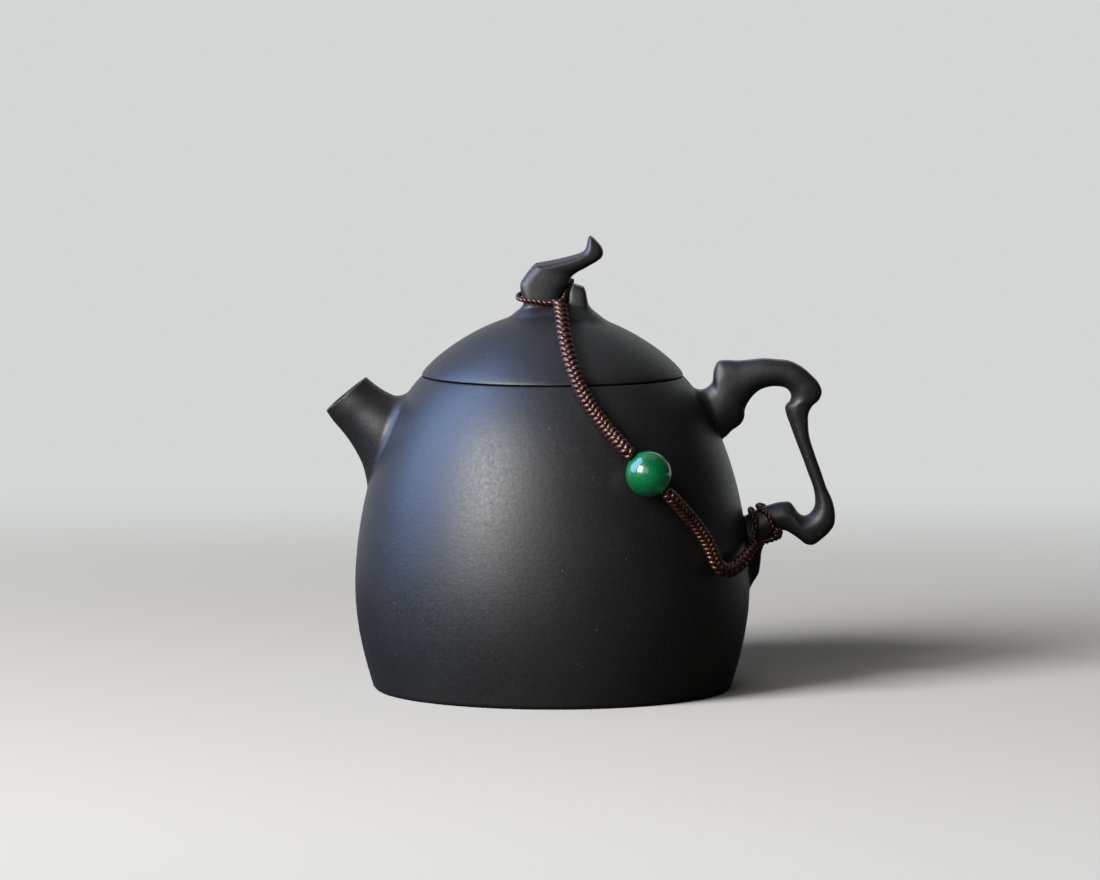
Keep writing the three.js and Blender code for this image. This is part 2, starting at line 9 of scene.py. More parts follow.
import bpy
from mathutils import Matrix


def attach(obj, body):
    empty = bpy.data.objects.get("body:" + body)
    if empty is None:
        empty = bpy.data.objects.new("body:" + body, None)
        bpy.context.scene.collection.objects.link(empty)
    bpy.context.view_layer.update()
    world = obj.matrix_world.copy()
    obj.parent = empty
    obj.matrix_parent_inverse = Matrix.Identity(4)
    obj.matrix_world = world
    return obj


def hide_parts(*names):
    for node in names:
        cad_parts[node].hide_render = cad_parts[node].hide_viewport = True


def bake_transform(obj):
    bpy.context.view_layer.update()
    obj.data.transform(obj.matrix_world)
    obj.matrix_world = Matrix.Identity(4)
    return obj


bl_info = {
    "name": "Clay teapot",
    "version": (1, 0, 0),
    "blender": (4, 5, 0),
    "location": "3D View > Sidebar > Teapot",
    "description": "Builds a dark clay teapot with a carved knob and handle, a cord and a bead",
    "category": "Add Mesh",
}

import math
from contextlib import contextmanager

import bpy
import numpy as np
from bpy.props import FloatProperty, FloatVectorProperty, PointerProperty
from mathutils import Quaternion, Vector

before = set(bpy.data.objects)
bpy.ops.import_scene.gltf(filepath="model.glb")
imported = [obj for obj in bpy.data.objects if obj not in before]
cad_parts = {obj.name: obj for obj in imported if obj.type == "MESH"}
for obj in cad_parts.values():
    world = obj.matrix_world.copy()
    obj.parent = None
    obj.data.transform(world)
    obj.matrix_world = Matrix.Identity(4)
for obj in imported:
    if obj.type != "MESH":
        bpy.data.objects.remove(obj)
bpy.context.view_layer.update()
MM = 0.001

# Pot
SEAT_HEIGHT = 69.6  # the flat ring that the lid rests on
FOOT_RADIUS = 39.7
BELLY_RADIUS = 43.9
BELLY_HEIGHT = 23.6
RIM_RADIUS = 29.1
POT_WALL = 3.0
FLOOR_THICKNESS = 3.0
SEAT_THICKNESS = 2.7
MOUTH_RADIUS = RIM_RADIUS - 4.3

# Lid
LID_RADIUS = 29.0
LID_SEAT = 69.9  # underside of the lid's edge
LID_RISE = 14.26
DOME_TOP = LID_SEAT + LID_RISE
LID_WALL = 2.8
FLANGE_RADIUS = 24.4
FLANGE_WALL = 2.5
FLANGE_FOOT = SEAT_HEIGHT - 7.2
VENT_RADIUS = 0.9
VENT_PLACE = 12.5  # behind the knob

# Spout
SPOUT_ROOT = (-37.149, 56.8)
SPOUT_MOUTH = np.array((-45.849, 0, 65.65))
SPOUT_INWARDS = np.array((0.728, 0, -0.686)) / math.hypot(0.728, 0.686)
BORE_MOUTH = 4.1
BORE_ROOT = 6.1
BORE_LENGTH = 15.6
BORE_GROWTH = (BORE_ROOT - BORE_MOUTH) / BORE_LENGTH
STRAINER_RADIUS = 9.2
STRAINER_WALL = 1.6
STRAINER_HOLE = 0.85
STRAINER_PLACE = SPOUT_MOUTH + BORE_LENGTH * SPOUT_INWARDS + np.array((-1.5, 0, 0.675))
STRAINER_MIDDLE = (0.92, 0, -0.39)  # which way the middle of its dome looks
STRAINER_RINGS = ((1, 0), (6, 0.42), (12, 0.84))  # holes, and their angle from the middle

# Upper edge X and Z, lower edge X and Z, half depth; set out from SPOUT_ROOT.
SPOUT_STATIONS = [
    (-4.25, 12.55, -13.15, 5.15, 5.75), (-2.5, 11.1, -11.65, 2.95, 6.1),
    (-0.5, 9.7, -9.8, 0.8, 6.4), (1.6, 8.6, -8.1, -1.4, 6.9), (4, 7.6, -6.5, -4, 7.5),
    (6.6, 6.8, -5.1, -6.9, 8), (9.7, 6, -4.3, -10, 8.4), (13.2, 5.2, -3.8, -13.3, 8.6),
]

# Handle: outer edge X and Z, inner edge X and Z, half depth; set out from the wall.
HANDLE_ORIGIN = (39.66, 50)
HANDLE_STATIONS = [
    (-9.2, 14.4, -5.1, 5.1, 4.6), (-6, 16.4, -1.5, 5.9, 4.5), (-4.2, 18, 0.2, 7.5, 4.4),
    (-3.8, 20.8, 2.1, 8.9, 4.3), (-2.8, 22.7, 2.9, 10.3, 4.2), (-1, 23, 3.1, 12.2, 4.1),
    (1.5, 22.9, 3.8, 13.8, 4), (4.1, 23.1, 5.1, 15.5, 3.9), (7.3, 23.4, 6.7, 16.7, 3.8),
    (10.1, 23.2, 8.9, 17.3, 3.7), (12.9, 22.9, 10.8, 17.3, 3.6), (15.5, 21.7, 12.2, 16.9, 3.6),
    (17.8, 19.8, 13, 16.1, 3.5), (19.5, 17.9, 13.3, 15.1, 3.5), (20.1, 16.2, 13, 14, 3.4),
    (19.4, 14.3, 12.3, 13.3, 3.3), (18.1, 13.1, 12, 12.6, 3.1), (17.2, 11.4, 12.3, 11, 2.9),
    (17.1, 9.3, 13.1, 8.8, 2.7), (17.4, 6.2, 14.3, 5.5, 2.6), (18.7, 2, 15.9, 1.4, 2.5),
]
FOOT_ORIGIN = (43.59, 30)
FOOT_STATIONS = [
    (16.1, 18.3, 13.2, 18, 2.5), (17.3, 14.8, 14.4, 14.7, 2.6), (18.6, 11.9, 14.8, 12.2, 2.9),
    (19.2, 9, 14.7, 10.6, 3.2), (19, 6.6, 13.9, 9.2, 3.4), (18, 5, 12.9, 8.5, 3.5),
    (16.3, 3.4, 12, 8.5, 3.5), (14.4, 2.1, 11.2, 9, 3.5), (12.8, 2.2, 10.6, 9.7, 3.5),
    (11.3, 3.3, 10, 10.6, 3.5), (9.6, 4.5, 9.2, 11.4, 3.4), (7.9, 5.3, 7.9, 11.5, 3.4),
    (6.5, 4.9, 6.4, 11.3, 3.3), (4.9, 3.6, 4.6, 10.8, 3.3), (3.7, 2.5, 2.9, 10.2, 3.3),
    (2.9, 0.5, 1, 9.4, 3.4), (2.7, -1.5, -0.7, 8.3, 3.4), (2.2, -4.4, -2.1, 6.5, 3.3),
    (0.6, -6.7, -3.9, 3.8, 3.1), (-1.6, -8.4, -5.6, 1.6, 2.8),
]

# Half section of the handle: a bevel along its outside, a flat front and a wider inner bevel.
# Each point is u and v: see rings_over.
HANDLE_SECTION = [
    (1, 0.35), (1, 0.6), (0.7, 0.87), (0.38, 0.96), (0.02, 1.01), (-0.32, 0.96), (-0.68, 0.74),
    (-0.97, 0.42), (-1, 0.22),
]

# Knob: left edge X and Z, right edge X and Z, half depth; set out from the top of the dome.
NECK_STATIONS = [
    (-6.25, 2.05, 7.75, 2.05, 4), (-6.35, 1.6, 7.9, 1.6, 4.25), (-6.55, 0.9, 8.15, 0.9, 4.7),
    (-7, 0, 8.6, 0, 5.4), (-8.2, -2, 9.8, -2, 6.8), (-10, -5, 11.6, -5, 8.6),
]
BRANCH_STATIONS = [
    (-6.3, 0, 1.6, 0, 4.4), (-6.45, 2, 1.8, 2, 4.4), (-6.75, 3.4, 2.2, 3.4, 4.3),
    (-7.1, 4.9, 2.7, 4.7, 4.1), (-7.1, 5.95, 3.4, 5.6, 3.95), (-6.5, 7, 3.8, 6.2, 3.8),
    (-5.35, 8.5, 4, 6.8, 3.6), (-4.15, 9.8, 4.15, 7.3, 3.45), (-3.65, 10.2, 4.25, 7.5, 3.4),
    (-2.95, 10.3, 4.35, 7.65, 3.4), (-1.5, 10.55, 4.5, 7.85, 3.4), (0.4, 10.9, 4.85, 8.1, 3.4),
    (2.6, 11.4, 5.6, 8.65, 3.35), (4.6, 11.95, 6.9, 9.35, 3.25), (6.1, 12.45, 8.4, 10.2, 3.1),
    (7.05, 13.1, 10, 11.15, 2.8), (7.5, 14, 11, 12.05, 2.55), (7.7, 14.95, 11.25, 13.05, 2.3),
    (7.85, 15.75, 10.85, 14.15, 2), (8.1, 16.35, 9.9, 15.3, 1.7), (8.3, 16.55, 9.2, 16, 1.5),
]
STUB_STATIONS = [
    (3.1, 0, 8, 0, 4.4), (3.3, 1.9, 7.85, 1.9, 4.15), (3.55, 3.6, 7.6, 3.3, 3.8),
    (3.85, 4.9, 7.35, 4.4, 3.4), (4.35, 5.95, 7, 5.2, 2.9),
]
# Between the branch and the stub, under the cord: Y and the height of the notch's floor
NOTCH_FLOOR = [
    (-4.1, 2), (-3.4, 2.6), (-2.3, 3.5), (-0.6, 4.55), (1.1, 5.3), (2.4, 5.6), (3, 5.4), (3.4, 4.6),
    (3.7, 3.7), (4, 2.5),
]

KNOB_VOXEL = 0.12  # how finely the knob's parts are melted together
KNOB_ROOT = (-2, 4.2, 1.4)  # smoothed further: from, to, and how far it takes to fade out

# Half sections of the knob, without their ends: see softened.
BODY_SECTION = [
    (1, 0.5), (1, 0.76), (0.78, 1), (0.3, 1.04), (-0.2, 1.03), (-0.62, 0.96), (-0.9, 0.72),
    (-1, 0.45),
]
ARM_SECTION = [
    (1, 0.6), (1, 0.83), (0.71, 1), (0.35, 1), (-0.1, 0.95), (-0.52, 0.82), (-0.84, 0.6), (-1, 0.3),
]
TIP_SECTION = [
    (1, 0.4), (1, 0.6), (0.7, 1), (0.3, 1.02), (-0.15, 1), (-0.56, 0.96), (-0.92, 0.62), (-1, 0.4),
]
STUB_SECTION = [
    (1, 0.5), (1, 0.8), (0.84, 1), (0.4, 1.02), (-0.2, 1.02), (-0.6, 1), (-0.9, 0.9), (-1, 0.6),
]
NECK_SECTION = [
    (1, 0.45), (0.93, 0.8), (0.72, 1), (0.25, 1.02), (-0.25, 1.02), (-0.72, 1), (-0.93, 0.8),
    (-1, 0.45),
]

# Cords
UPPER_ROUTE = [
    (1.5, -6.5, 86.3), (1.6, -8.4, 85.5), (1.8, -11, 84.4), (2, -14.6, 82.9),
    (2.3, -18.6, 80.9), (2.8, -22.1, 78.8), (3.3, -24.8, 76.8), (3.9, -27.2, 74.8),
    (4.6, -29.1, 72.8), (5.4, -30.6, 70.8), (6.3, -31.9, 68.9), (7.4, -33, 67),
    (8.6, -33.9, 65.2), (9.9, -34.8, 63.4), (11.3, -35.7, 61.7), (12.7, -36.9, 60.1),
    (14, -38.3, 58.8), (15.2, -39.5, 57.5), (16.2, -40.1, 56.4), (17.1, -40.1, 55.4),
]
LOWER_ROUTE = [
    (24.5, -39.3, 47.8), (25.3, -39.3, 46.9), (26.3, -38.5, 45.9), (27.4, -37.3, 44.6),
    (28.5, -35.9, 43.2), (29.6, -34.4, 41.8), (30.7, -33.1, 40.4), (31.8, -32.1, 38.9),
    (32.8, -31.2, 37.3), (33.8, -30.4, 35.6), (34.6, -29.7, 33.9), (35.2, -29.1, 32.2),
    (36, -28.2, 30.5), (37.3, -26.7, 29.3), (39, -24.2, 29), (40.7, -21.2, 29.6),
    (42.1, -17.9, 30.6), (43.3, -14.3, 31.6), (44.3, -10.9, 32.4), (45.1, -8.4, 33),
]
KNOB_LOOP = [
    (-0.7, -5.1, 1.95), (-2.6, -5.1, 2.1), (-4.6, -5, 2.4), (-6.3, -4.3, 2.65),
    (-7.3, -2.7, 2.85), (-7.6, -0.5, 3), (-7.4, 1.9, 3.3), (-6.2, 4, 3.8),
    (-3.6, 5, 4.5), (-0.8, 5.1, 5.2), (1.9, 4.9, 5.8), (3.6, 4.1, 6.25),
    (4.3, 2.6, 6.4), (4.05, 1.1, 6.05), (3.55, -0.6, 5.2), (3.05, -2.3, 4.2),
    (2.7, -3.8, 3.3), (2.5, -4.9, 2.7),
]
LOOP_RETURN = [
    (50.3, -3.3, 34.3), (50.1, -4.9, 34.1), (49.2, -5.7, 33.8), (48.1, -6, 33.5),
    (47.1, -6.5, 33.2),
]
LEAST_SHARE = 0.5  # how loose the braids get at most, where they run from front to back
FULLNESS = 1.17  # how far a braid's strands reach from its middle, in radii of the braid
BEAD_CENTRE = (20.8, -39.7, 51.6)
BEAD_AXIS = (0.69, 0.067, -0.72)
BEAD_BORE = 1.1
BEAD_CORE = 4.9  # half the length of the cord inside the bead
KNOT_CENTRE = (50, -6.6, 35.1)

# Stage, in metres
CAMERA_PLACE = (-0.00055, -1.5932, 0.2031)
CAMERA_TILT = 5.3  # degrees, down
CAMERA_LENS = 235.636
CAMERA_SENSOR = 36
CAMERA_CLIP = (0.05, 100)
FLOOR_RADIUS = 8
LAMPS_LOOK_AT = (0, 0, 0.045)
LAMPS = [  # name, its power's property, place, size and colour; the window shows only in gloss
    ("key_lamp", "key_power", (-0.98, -0.94, 0.72), (0.7, 0.8), (1.0, 0.985, 0.95)),
    ("window", "window_power", (-1.2, 0.02, 0.95), (1.1, 1.7), (0.34, 0.53, 1.0)),
    ("front_lamp", "front_power", (-0.6, -1.9, 0.9), (1.2, 1.2), (1, 0.95, 0.88)),
    ("top_lamp", "top_power", (0.1, 0.3, 1.4), (1.2, 1.0), (1, 0.98, 0.95)),
]


# What a user would change


def colour_of(name, description, default):
    return FloatVectorProperty(
        name=name, description=description, subtype="COLOR", size=3, min=0, max=1, default=default
    )


def length_of(name, description, low, high, default, precision=4):
    return FloatProperty(
        name=name, description=description, unit="LENGTH", min=low, max=high, default=default,
        precision=precision,
    )


def power_of(name, description, default):
    return FloatProperty(
        name=name, description=description, unit="POWER", min=0, max=200, default=default
    )


class TeapotClay(bpy.types.PropertyGroup):
    """The clay's finish."""

    colour: colour_of("Clay colour", "Colour of the burnished clay", (0.0115, 0.0112, 0.0118))
    speck_colour: colour_of("Speck colour", "Colour of the sparse pale specks", (0.2, 0.2, 0.19))
    roughness: FloatProperty(
        name="Roughness", description="How dull the burnished clay is", min=0.1, max=1, default=0.45
    )
    grain: length_of("Grain depth", "Depth of the fine grain", 0, 0.0002, 0.00005, 6)
    root_fillet: length_of(
        "Root fillet", "Radius at the roots of the spout and the knob", 0.0005, 0.005, 0.0026
    )


class TeapotCord(bpy.types.PropertyGroup):
    """The cord's sizes and finish."""

    # The cord's own dark colour, which also stands for painted shade in the hollows between fibres.
    colour: colour_of("Cord colour", "Colour in the hollows between fibres", (0.008, 0.002, 0.0015))
    # A painted sheen: the lighter fibres stand in for the light they catch.
    sheen_colour: colour_of(
        "Cord light colour", "Colour of the fibres that catch the light", (0.06, 0.014, 0.009)
    )
    braid: length_of("Braid thickness", "Diameter of the braid", 0.002, 0.004, 0.003)
    stitch: length_of(
        "Stitch length", "Length of the braid from one stitch to the next", 0.0008, 0.003, 0.0013
    )
    thin: length_of("Thin cord", "Diameter of the loops' twisted cord", 0.0006, 0.0015, 0.0012)
    twist: length_of("Twist", "Length of one turn of the thin cord's twist", 0.001, 0.005, 0.0023)


class TeapotBead(bpy.types.PropertyGroup):
    """The stone bead."""

    diameter: length_of("Bead diameter", "Diameter of the bead", 0.008, 0.011, 0.01)
    colour: colour_of("Stone colour", "Colour of the stone", (0.0, 0.21, 0.068))
    cloud_colour: colour_of("Cloud colour", "Colour of its cloudy patches", (0.0, 0.32, 0.105))


class TeapotStage(bpy.types.PropertyGroup):
    """The floor, the backdrop and the lamps."""

    floor_colour: colour_of("Floor colour", "Colour of the floor", (0.7, 0.705, 0.71))
    backdrop_colour: colour_of("Backdrop colour", "Colour behind the pot", (0.66, 0.675, 0.67))
    key_power: power_of("Key lamp", "Power of the large lamp on the left", 39)
    window_power: power_of("Window", "Power of the blue window that shows only in gloss", 56)
    front_power: power_of("Front lamp", "Power of the weak lamp beside the camera", 9)
    top_power: power_of("Fill lamp", "Power of the weak lamp overhead", 1.4)


# Selecting and shaping


def nothing_selected():
    """Leave edit mode and deselect everything."""
    if bpy.context.object and bpy.context.object.mode != "OBJECT":
        bpy.ops.object.mode_set(mode="OBJECT")
    bpy.ops.object.select_all(action="DESELECT")


def only(piece):
    """Make this piece the only selected one."""
    nothing_selected()
    piece.select_set(True)
    bpy.context.view_layer.objects.active = piece


@contextmanager
def editing(piece):
    """Edit mode, with all of this piece selected."""
    only(piece)
    bpy.ops.object.mode_set(mode="EDIT")
    bpy.ops.mesh.select_all(action="SELECT")
    yield
    bpy.ops.object.mode_set(mode="OBJECT")


def modified(piece, kind, **settings):
    """Add a modifier to the piece and apply it."""
    only(piece)
    modifier = piece.modifiers.new(kind.title(), kind)
    for setting, value in settings.items():
        setattr(modifier, setting, value)
    bpy.ops.object.modifier_apply(modifier=modifier.name)
    return piece


def cut(piece, tool, operation="DIFFERENCE"):
    """Cut the piece with the tool, or keep what they share, and remove the tool."""
    modified(piece, "BOOLEAN", operation=operation, solver="EXACT", object=tool)
    bpy.data.objects.remove(tool, do_unlink=True)
    return piece


def sealed(piece, merge=0.00001 * MM):
    """Merge doubles and point the faces outwards."""
    with editing(piece):
        bpy.ops.mesh.remove_doubles(threshold=merge)
        bpy.ops.mesh.normals_make_consistent(inside=False)
    return piece


def meshed(points, faces):
    """A piece from points in millimetres and faces that go by their numbers."""
    mesh = bpy.data.meshes.new("mesh")
    mesh.from_pydata((np.asarray(points) * MM).tolist(), [], faces)
    piece = bpy.data.objects.new("mesh", mesh)
    bpy.context.scene.collection.objects.link(piece)
    return piece


def finished(piece, name, material, body, slot, *nodes, angle=32):
    """Name the piece, smooth it, give it its finish, and let it stand for its CAD nodes."""
    only(piece)
    piece.name = piece.data.name = name
    bpy.ops.object.shade_smooth_by_angle(angle=math.radians(angle))
    piece.data.materials.clear()
    piece.data.materials.append(material)
    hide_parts(*nodes)
    if body:
        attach(piece, body)
    return piece


def turned(outline, steps=144):
    """A shell turned on the wheel: a closed outline of (radius, height), drawn by extruding one
    point along it and spun round the pot's axis."""
    nothing_selected()
    bpy.ops.mesh.primitive_plane_add(size=MM)
    piece = bpy.context.object
    outline = np.array([*outline, outline[0]]) * MM
    with editing(piece):
        bpy.ops.mesh.merge(type="CENTER")
        bpy.ops.mesh.select_all(action="SELECT")
        bpy.ops.transform.translate(value=(outline[0][0], 0, outline[0][1]))
        for right, up in np.diff(outline, axis=0):
            bpy.ops.mesh.extrude_region_move(TRANSFORM_OT_translate={"value": (right, 0, up)})
        bpy.ops.mesh.select_all(action="SELECT")
        bpy.ops.mesh.spin(steps=steps, angle=2 * math.pi, center=(0, 0, 0), axis=(0, 0, 1))
    return sealed(piece, 0.001 * MM)


def rod(start, direction, length, radius_from, radius_to, sides):
    """A round tapered bar from a point (mm) in a direction."""
    nothing_selected()
    direction = Vector(direction).normalized()
    middle = Vector(start) + direction * length / 2
    bpy.ops.mesh.primitive_cone_add(
        vertices=sides, radius1=radius_from * MM, radius2=radius_to * MM, depth=length * MM,
        location=middle * MM, rotation=direction.to_track_quat("Z", "Y").to_euler(),
    )
    bar = bpy.context.object
    bpy.ops.object.transform_apply()
    return bar


# Outlines


def unit(vectors):
    """The same vectors, one to a row, each with a length of 1."""
    return vectors / np.linalg.norm(vectors, axis=-1, keepdims=True)


def smooth(share):
    """The share, kept between 0 and 1 and eased at both ends."""
    share = np.clip(share, 0, 1)
    return share * share * (3 - 2 * share)


def curve_between(a, b, c, d, steps):
    """A cubic curve between points of radius and height."""
    t = np.linspace(0, 1, steps + 1)[:, None]
    a, b, c, d = (np.array(p, float) for p in (a, b, c, d))
    return a * (1 - t) ** 3 + 3 * b * t * (1 - t) ** 2 + 3 * c * t**2 * (1 - t) + d * t**3


def pot_outline(steps=40):
    """The outside of the pot, from its foot to the seat of the lid: two curves that meet at the
    belly. Their handles lie at shares of the sizes, as read from the outline in the photograph."""
    rise, draw = SEAT_HEIGHT - BELLY_HEIGHT, BELLY_RADIUS - RIM_RADIUS
    lower = curve_between(
        (FOOT_RADIUS, 0),
        (FOOT_RADIUS + 0.52 * (BELLY_RADIUS - FOOT_RADIUS), 0.3 * BELLY_HEIGHT),
        (BELLY_RADIUS, 0.6 * BELLY_HEIGHT),
        (BELLY_RADIUS, BELLY_HEIGHT),
        steps,
    )
    upper = curve_between(
        (BELLY_RADIUS, BELLY_HEIGHT),
        (BELLY_RADIUS, BELLY_HEIGHT + 0.243 * rise),
        (RIM_RADIUS + 0.763 * draw, BELLY_HEIGHT + 0.74 * rise),
        (RIM_RADIUS, SEAT_HEIGHT),
        2 * steps,
    )
    return np.vstack([lower, upper[1:]])


def dome_outline(steps=40):
    """The outside of the lid, from its edge to the middle."""
    return curve_between(
        (LID_RADIUS, LID_SEAT),
        (LID_RADIUS + 0.1, LID_SEAT + 0.12 * LID_RISE),
        (0.528 * LID_RADIUS, DOME_TOP),
        (0, DOME_TOP),
        steps,
    )


def shifted(outline, distance):
    """The outline moved square to itself, outwards where the distance is positive."""
    along = unit(np.gradient(outline, axis=0))
    return outline + distance * np.stack([along[:, 1], -along[:, 0]], axis=1)


def between(outline, low, high):
    """The part of an outline between two heights, with a point at each."""

    def radius(z):
        return np.interp(z, outline[:, 1], outline[:, 0])

    inner = outline[(outline[:, 1] > low + 0.2) & (outline[:, 1] < high - 0.2)]
    return np.vstack([[(radius(low), low)], inner, [(radius(high), high)]])


def eased(outline, corner, size, steps=5):
    """The closed outline with one corner rounded off."""
    count = len(outline)
    before, at, after = (np.array(outline[(corner + k) % count], float) for k in (-1, 0, 1))
    start, end = (
        at + (to - at) * min(0.5, size / np.linalg.norm(to - at)) for to in (before, after)
    )
    t = np.linspace(0, 1, steps + 1)[:, None]
    arc = start * (1 - t) ** 2 + 2 * at * t * (1 - t) + end * t**2
    return [*outline[:corner], *arc, *outline[corner + 1:]]


# Carved shapes. They are strung over computed rings, because their roots run out on the pot's round
# wall without a seam, and their soft facets change all along them.


def through(points, shares):
    """Points of a smooth curve through the given ones, at shares of the way from 0 to 1."""
    p = np.array(points, float)
    p = np.vstack([2 * p[0] - p[1], p, 2 * p[-1] - p[-2]])
    spans = len(p) - 3
    place = np.clip(np.array(shares, float) * spans, 0, spans)
    i = np.minimum(place.astype(int), spans - 1)
    t = (place - i)[:, None]
    a, b, c, d = (p[i + k] for k in range(4))

    def root(u, v):
        return np.maximum(np.linalg.norm(v - u, axis=1), 1e-9)[:, None] ** 0.5

    ab, bc, cd = root(a, b), root(b, c), root(c, d)
    leave = ((b - a) / ab - (c - a) / (ab + bc) + (c - b) / bc) * bc
    reach = ((c - b) / bc - (d - b) / (bc + cd) + (d - c) / cd) * bc
    bend = 3 * (c - b) - 2 * leave - reach
    swing = 2 * (b - c) + leave + reach
    return b + leave * t + bend * t**2 + swing * t**3


def softened(half, rounds=2):
    """A closed section from half of one, its corners cut off again and again. It runs from one
    end, (1, 0), over the given points of the front to the other, (-1, 0), and back behind."""
    front = np.array([(1, 0), *half, (-1, 0)], float)
    ring = np.vstack([front, front[-2:0:-1] * (1, -1)])
    for _ in range(rounds):
        after = np.roll(ring, -1, axis=0)
        pair = [0.75 * ring + 0.25 * after, 0.25 * ring + 0.75 * after]
        ring = np.stack(pair, axis=1).reshape(-1, 2)
    return ring


def changing(halves, places, count):
    """Sections, one for each of count rings, that change from one half section to the next. places
    says how far along, from 0 to 1, each of them holds."""
    rings = np.array([softened(half) for half in halves])
    at = np.interp(np.linspace(0, 1, count), places, np.arange(len(halves)))
    i = np.minimum(at.astype(int), len(halves) - 2)
    t = (at - i)[:, None, None]
    return rings[i] * (1 - t) + rings[i + 1] * t


def rings_over(stations, origin, section, count):
    """Rings of points (mm) over stations in the pot's middle plane. The section's u runs between
    the two edges and its v, front to back, towards -Y. It may be one section for each ring."""
    s = np.array(stations, float)
    shares = np.linspace(0, 1, count)
    a = through(s[:, 0:2], shares) + origin
    b = through(s[:, 2:4], shares) + origin
    depth = through(np.stack([np.arange(len(s)), s[:, 4]], axis=1), shares)[:, 1]
    u, v = section[..., 0], section[..., 1]
    middle, half = (a + b) / 2, (a - b) / 2
    rows = np.zeros((count, section.shape[-2], 3))
    rows[:, :, 0] = middle[:, None, 0] + half[:, None, 0] * u
    rows[:, :, 2] = middle[:, None, 1] + half[:, None, 1] * u
    rows[:, :, 1] = -depth[:, None] * v
    return rows


class Ground:
    """The turned surface that a carved shape grows from."""

    def __init__(self, outline):
        self.low, self.step = outline[:-1], np.diff(outline, axis=0)
        length = np.linalg.norm(self.step, axis=1)[:, None]
        self.out = np.stack([self.step[:, 1], -self.step[:, 0]], axis=1) / length
        self.length2 = (length[:, 0]) ** 2

    def above(self, points):
        """How far the points lie outside the surface, and which way is out."""
        shape = points.shape[:-1]
        p = points.reshape(-1, 3)
        radius = np.maximum(np.hypot(p[:, 0], p[:, 1]), 1e-6)
        flat = np.stack([radius, p[:, 2]], axis=1)
        offset = flat[:, None] - self.low
        share = np.clip((offset * self.step).sum(-1) / self.length2, 0, 1)
        gap = offset - share[..., None] * self.step
        nearest = np.argmin((gap**2).sum(-1), axis=1)
        rows = np.arange(len(p))
        out = self.out[nearest]
        height = (gap[rows, nearest] * out).sum(-1)
        way = np.stack(
            [out[:, 0] * p[:, 0] / radius, out[:, 0] * p[:, 1] / radius, out[:, 1]], axis=1
        )
        return height.reshape(shape), way.reshape(points.shape)


def rooted(rows, ground, fillet, steps=10, sink=0.04, spread=1.0):
    """The rows of a stem, which start at its free end and run on under the ground, changed so that
    the last ones sweep out into it. fillet is a radius, or one for each side; spread is how much
    wider than high the sweep is, and sink how far under the ground its edge ends."""
    count, sides = rows.shape[:2]
    fillet = np.broadcast_to(np.asarray(fillet, float), (sides,))
    height = ground.above(rows)[0]
    turn = np.linspace(0, math.pi / 2, steps + 1)
    levels = fillet[:, None] * (1 - np.sin(turn))
    place = np.zeros((sides, steps + 1))
    for j in range(sides):
        h = height[:, j]
        for k, level in enumerate(levels[j]):
            outside = np.nonzero(h > level)[0]
            i = outside[-1] if len(outside) else 0
            if i >= count - 1:
                raise ValueError(f"side {j} of a stem doesn't reach the ground")
            place[j, k] = i + (h[i] - level) / max(h[i] - h[i + 1], 1e-9)

    def at(places):
        i = np.minimum(places.astype(int), count - 2)
        t = (places - i)[..., None]
        side = np.broadcast_to(np.arange(sides), places.shape)
        return rows[i, side] * (1 - t) + rows[i + 1, side] * t

    stem = at(np.linspace(0, 1, count)[:, None] * place[:, 0])
    foot = at(place[:, -1])
    round_it = np.roll(foot, -1, axis=0) - np.roll(foot, 1, axis=0)
    _, out = ground.above(foot)
    lateral = np.cross(round_it, out)
    lateral = unit(lateral - (lateral * out).sum(-1)[:, None] * out)
    middle = foot.mean(axis=0)
    if ((foot - middle) * lateral).sum() < 0:
        lateral = -lateral
    swept = []
    for k in range(1, steps + 1):
        p = at(place[:, k]) + lateral * (fillet * spread * (1 - math.cos(turn[k])))[:, None]
        h, out = ground.above(p)
        wanted = levels[:, k] - sink * (k / steps) ** 2
        swept.append(p + out * (wanted - h)[:, None])
    swept.append(swept[-1] - 0.6 * ground.above(swept[-1])[1])
    return np.concatenate([stem, swept])


CORNERS = ((0, 0), (0, 1), (1, 1), (1, 0))  # of a face: along the piece and round it


def skin(count, sides, start=0, joined=False):
    """The four-sided faces between rings of points, whose numbers begin at start."""
    return [
        [start + (i + di) % count * sides + (j + dj) % sides for di, dj in CORNERS]
        for i in range(count if joined else count - 1) for j in range(sides)
    ]


def strung(rows, joined=False):
    """A piece over rings of points. Its ends are closed, or joined to each other."""
    count, sides = rows.shape[:2]
    points, faces = rows.reshape(-1, 3), skin(count, sides, joined=joined)
    if not joined:
        for end in (0, count - 1):
            points = np.vstack([points, rows[end].mean(axis=0)])
            ring = [end * sides + j for j in range(sides)]
            faces += [(a, b, len(points) - 1) for a, b in zip(ring, ring[1:] + ring[:1])]
    return sealed(meshed(points, faces))


# Cords


def even_steps(points, spacing):
    """Points at even spacing along a curve through the given ones, all in millimetres."""
    line = through(points, np.linspace(0, 1, 40 * len(points)))
    walked = np.concatenate([[0], np.cumsum(np.linalg.norm(np.diff(line, axis=0), axis=1))])
    marks = np.linspace(0, walked[-1], max(2, round(walked[-1] / spacing)) + 1)
    return np.stack([np.interp(marks, walked, line[:, k]) for k in range(3)], axis=1), marks


def carried(line, facing):
    """For each point of a line: two ways square to it, which turn no more than the line bends.
    facing is where the second of them points at the start."""
    along = unit(np.gradient(line, axis=0))
    first = np.zeros_like(line)
    now = np.cross(facing, along[0])
    for i, t in enumerate(along):
        now = first[i] = unit(now - (now @ t) * t)
    return first, np.cross(along, first)


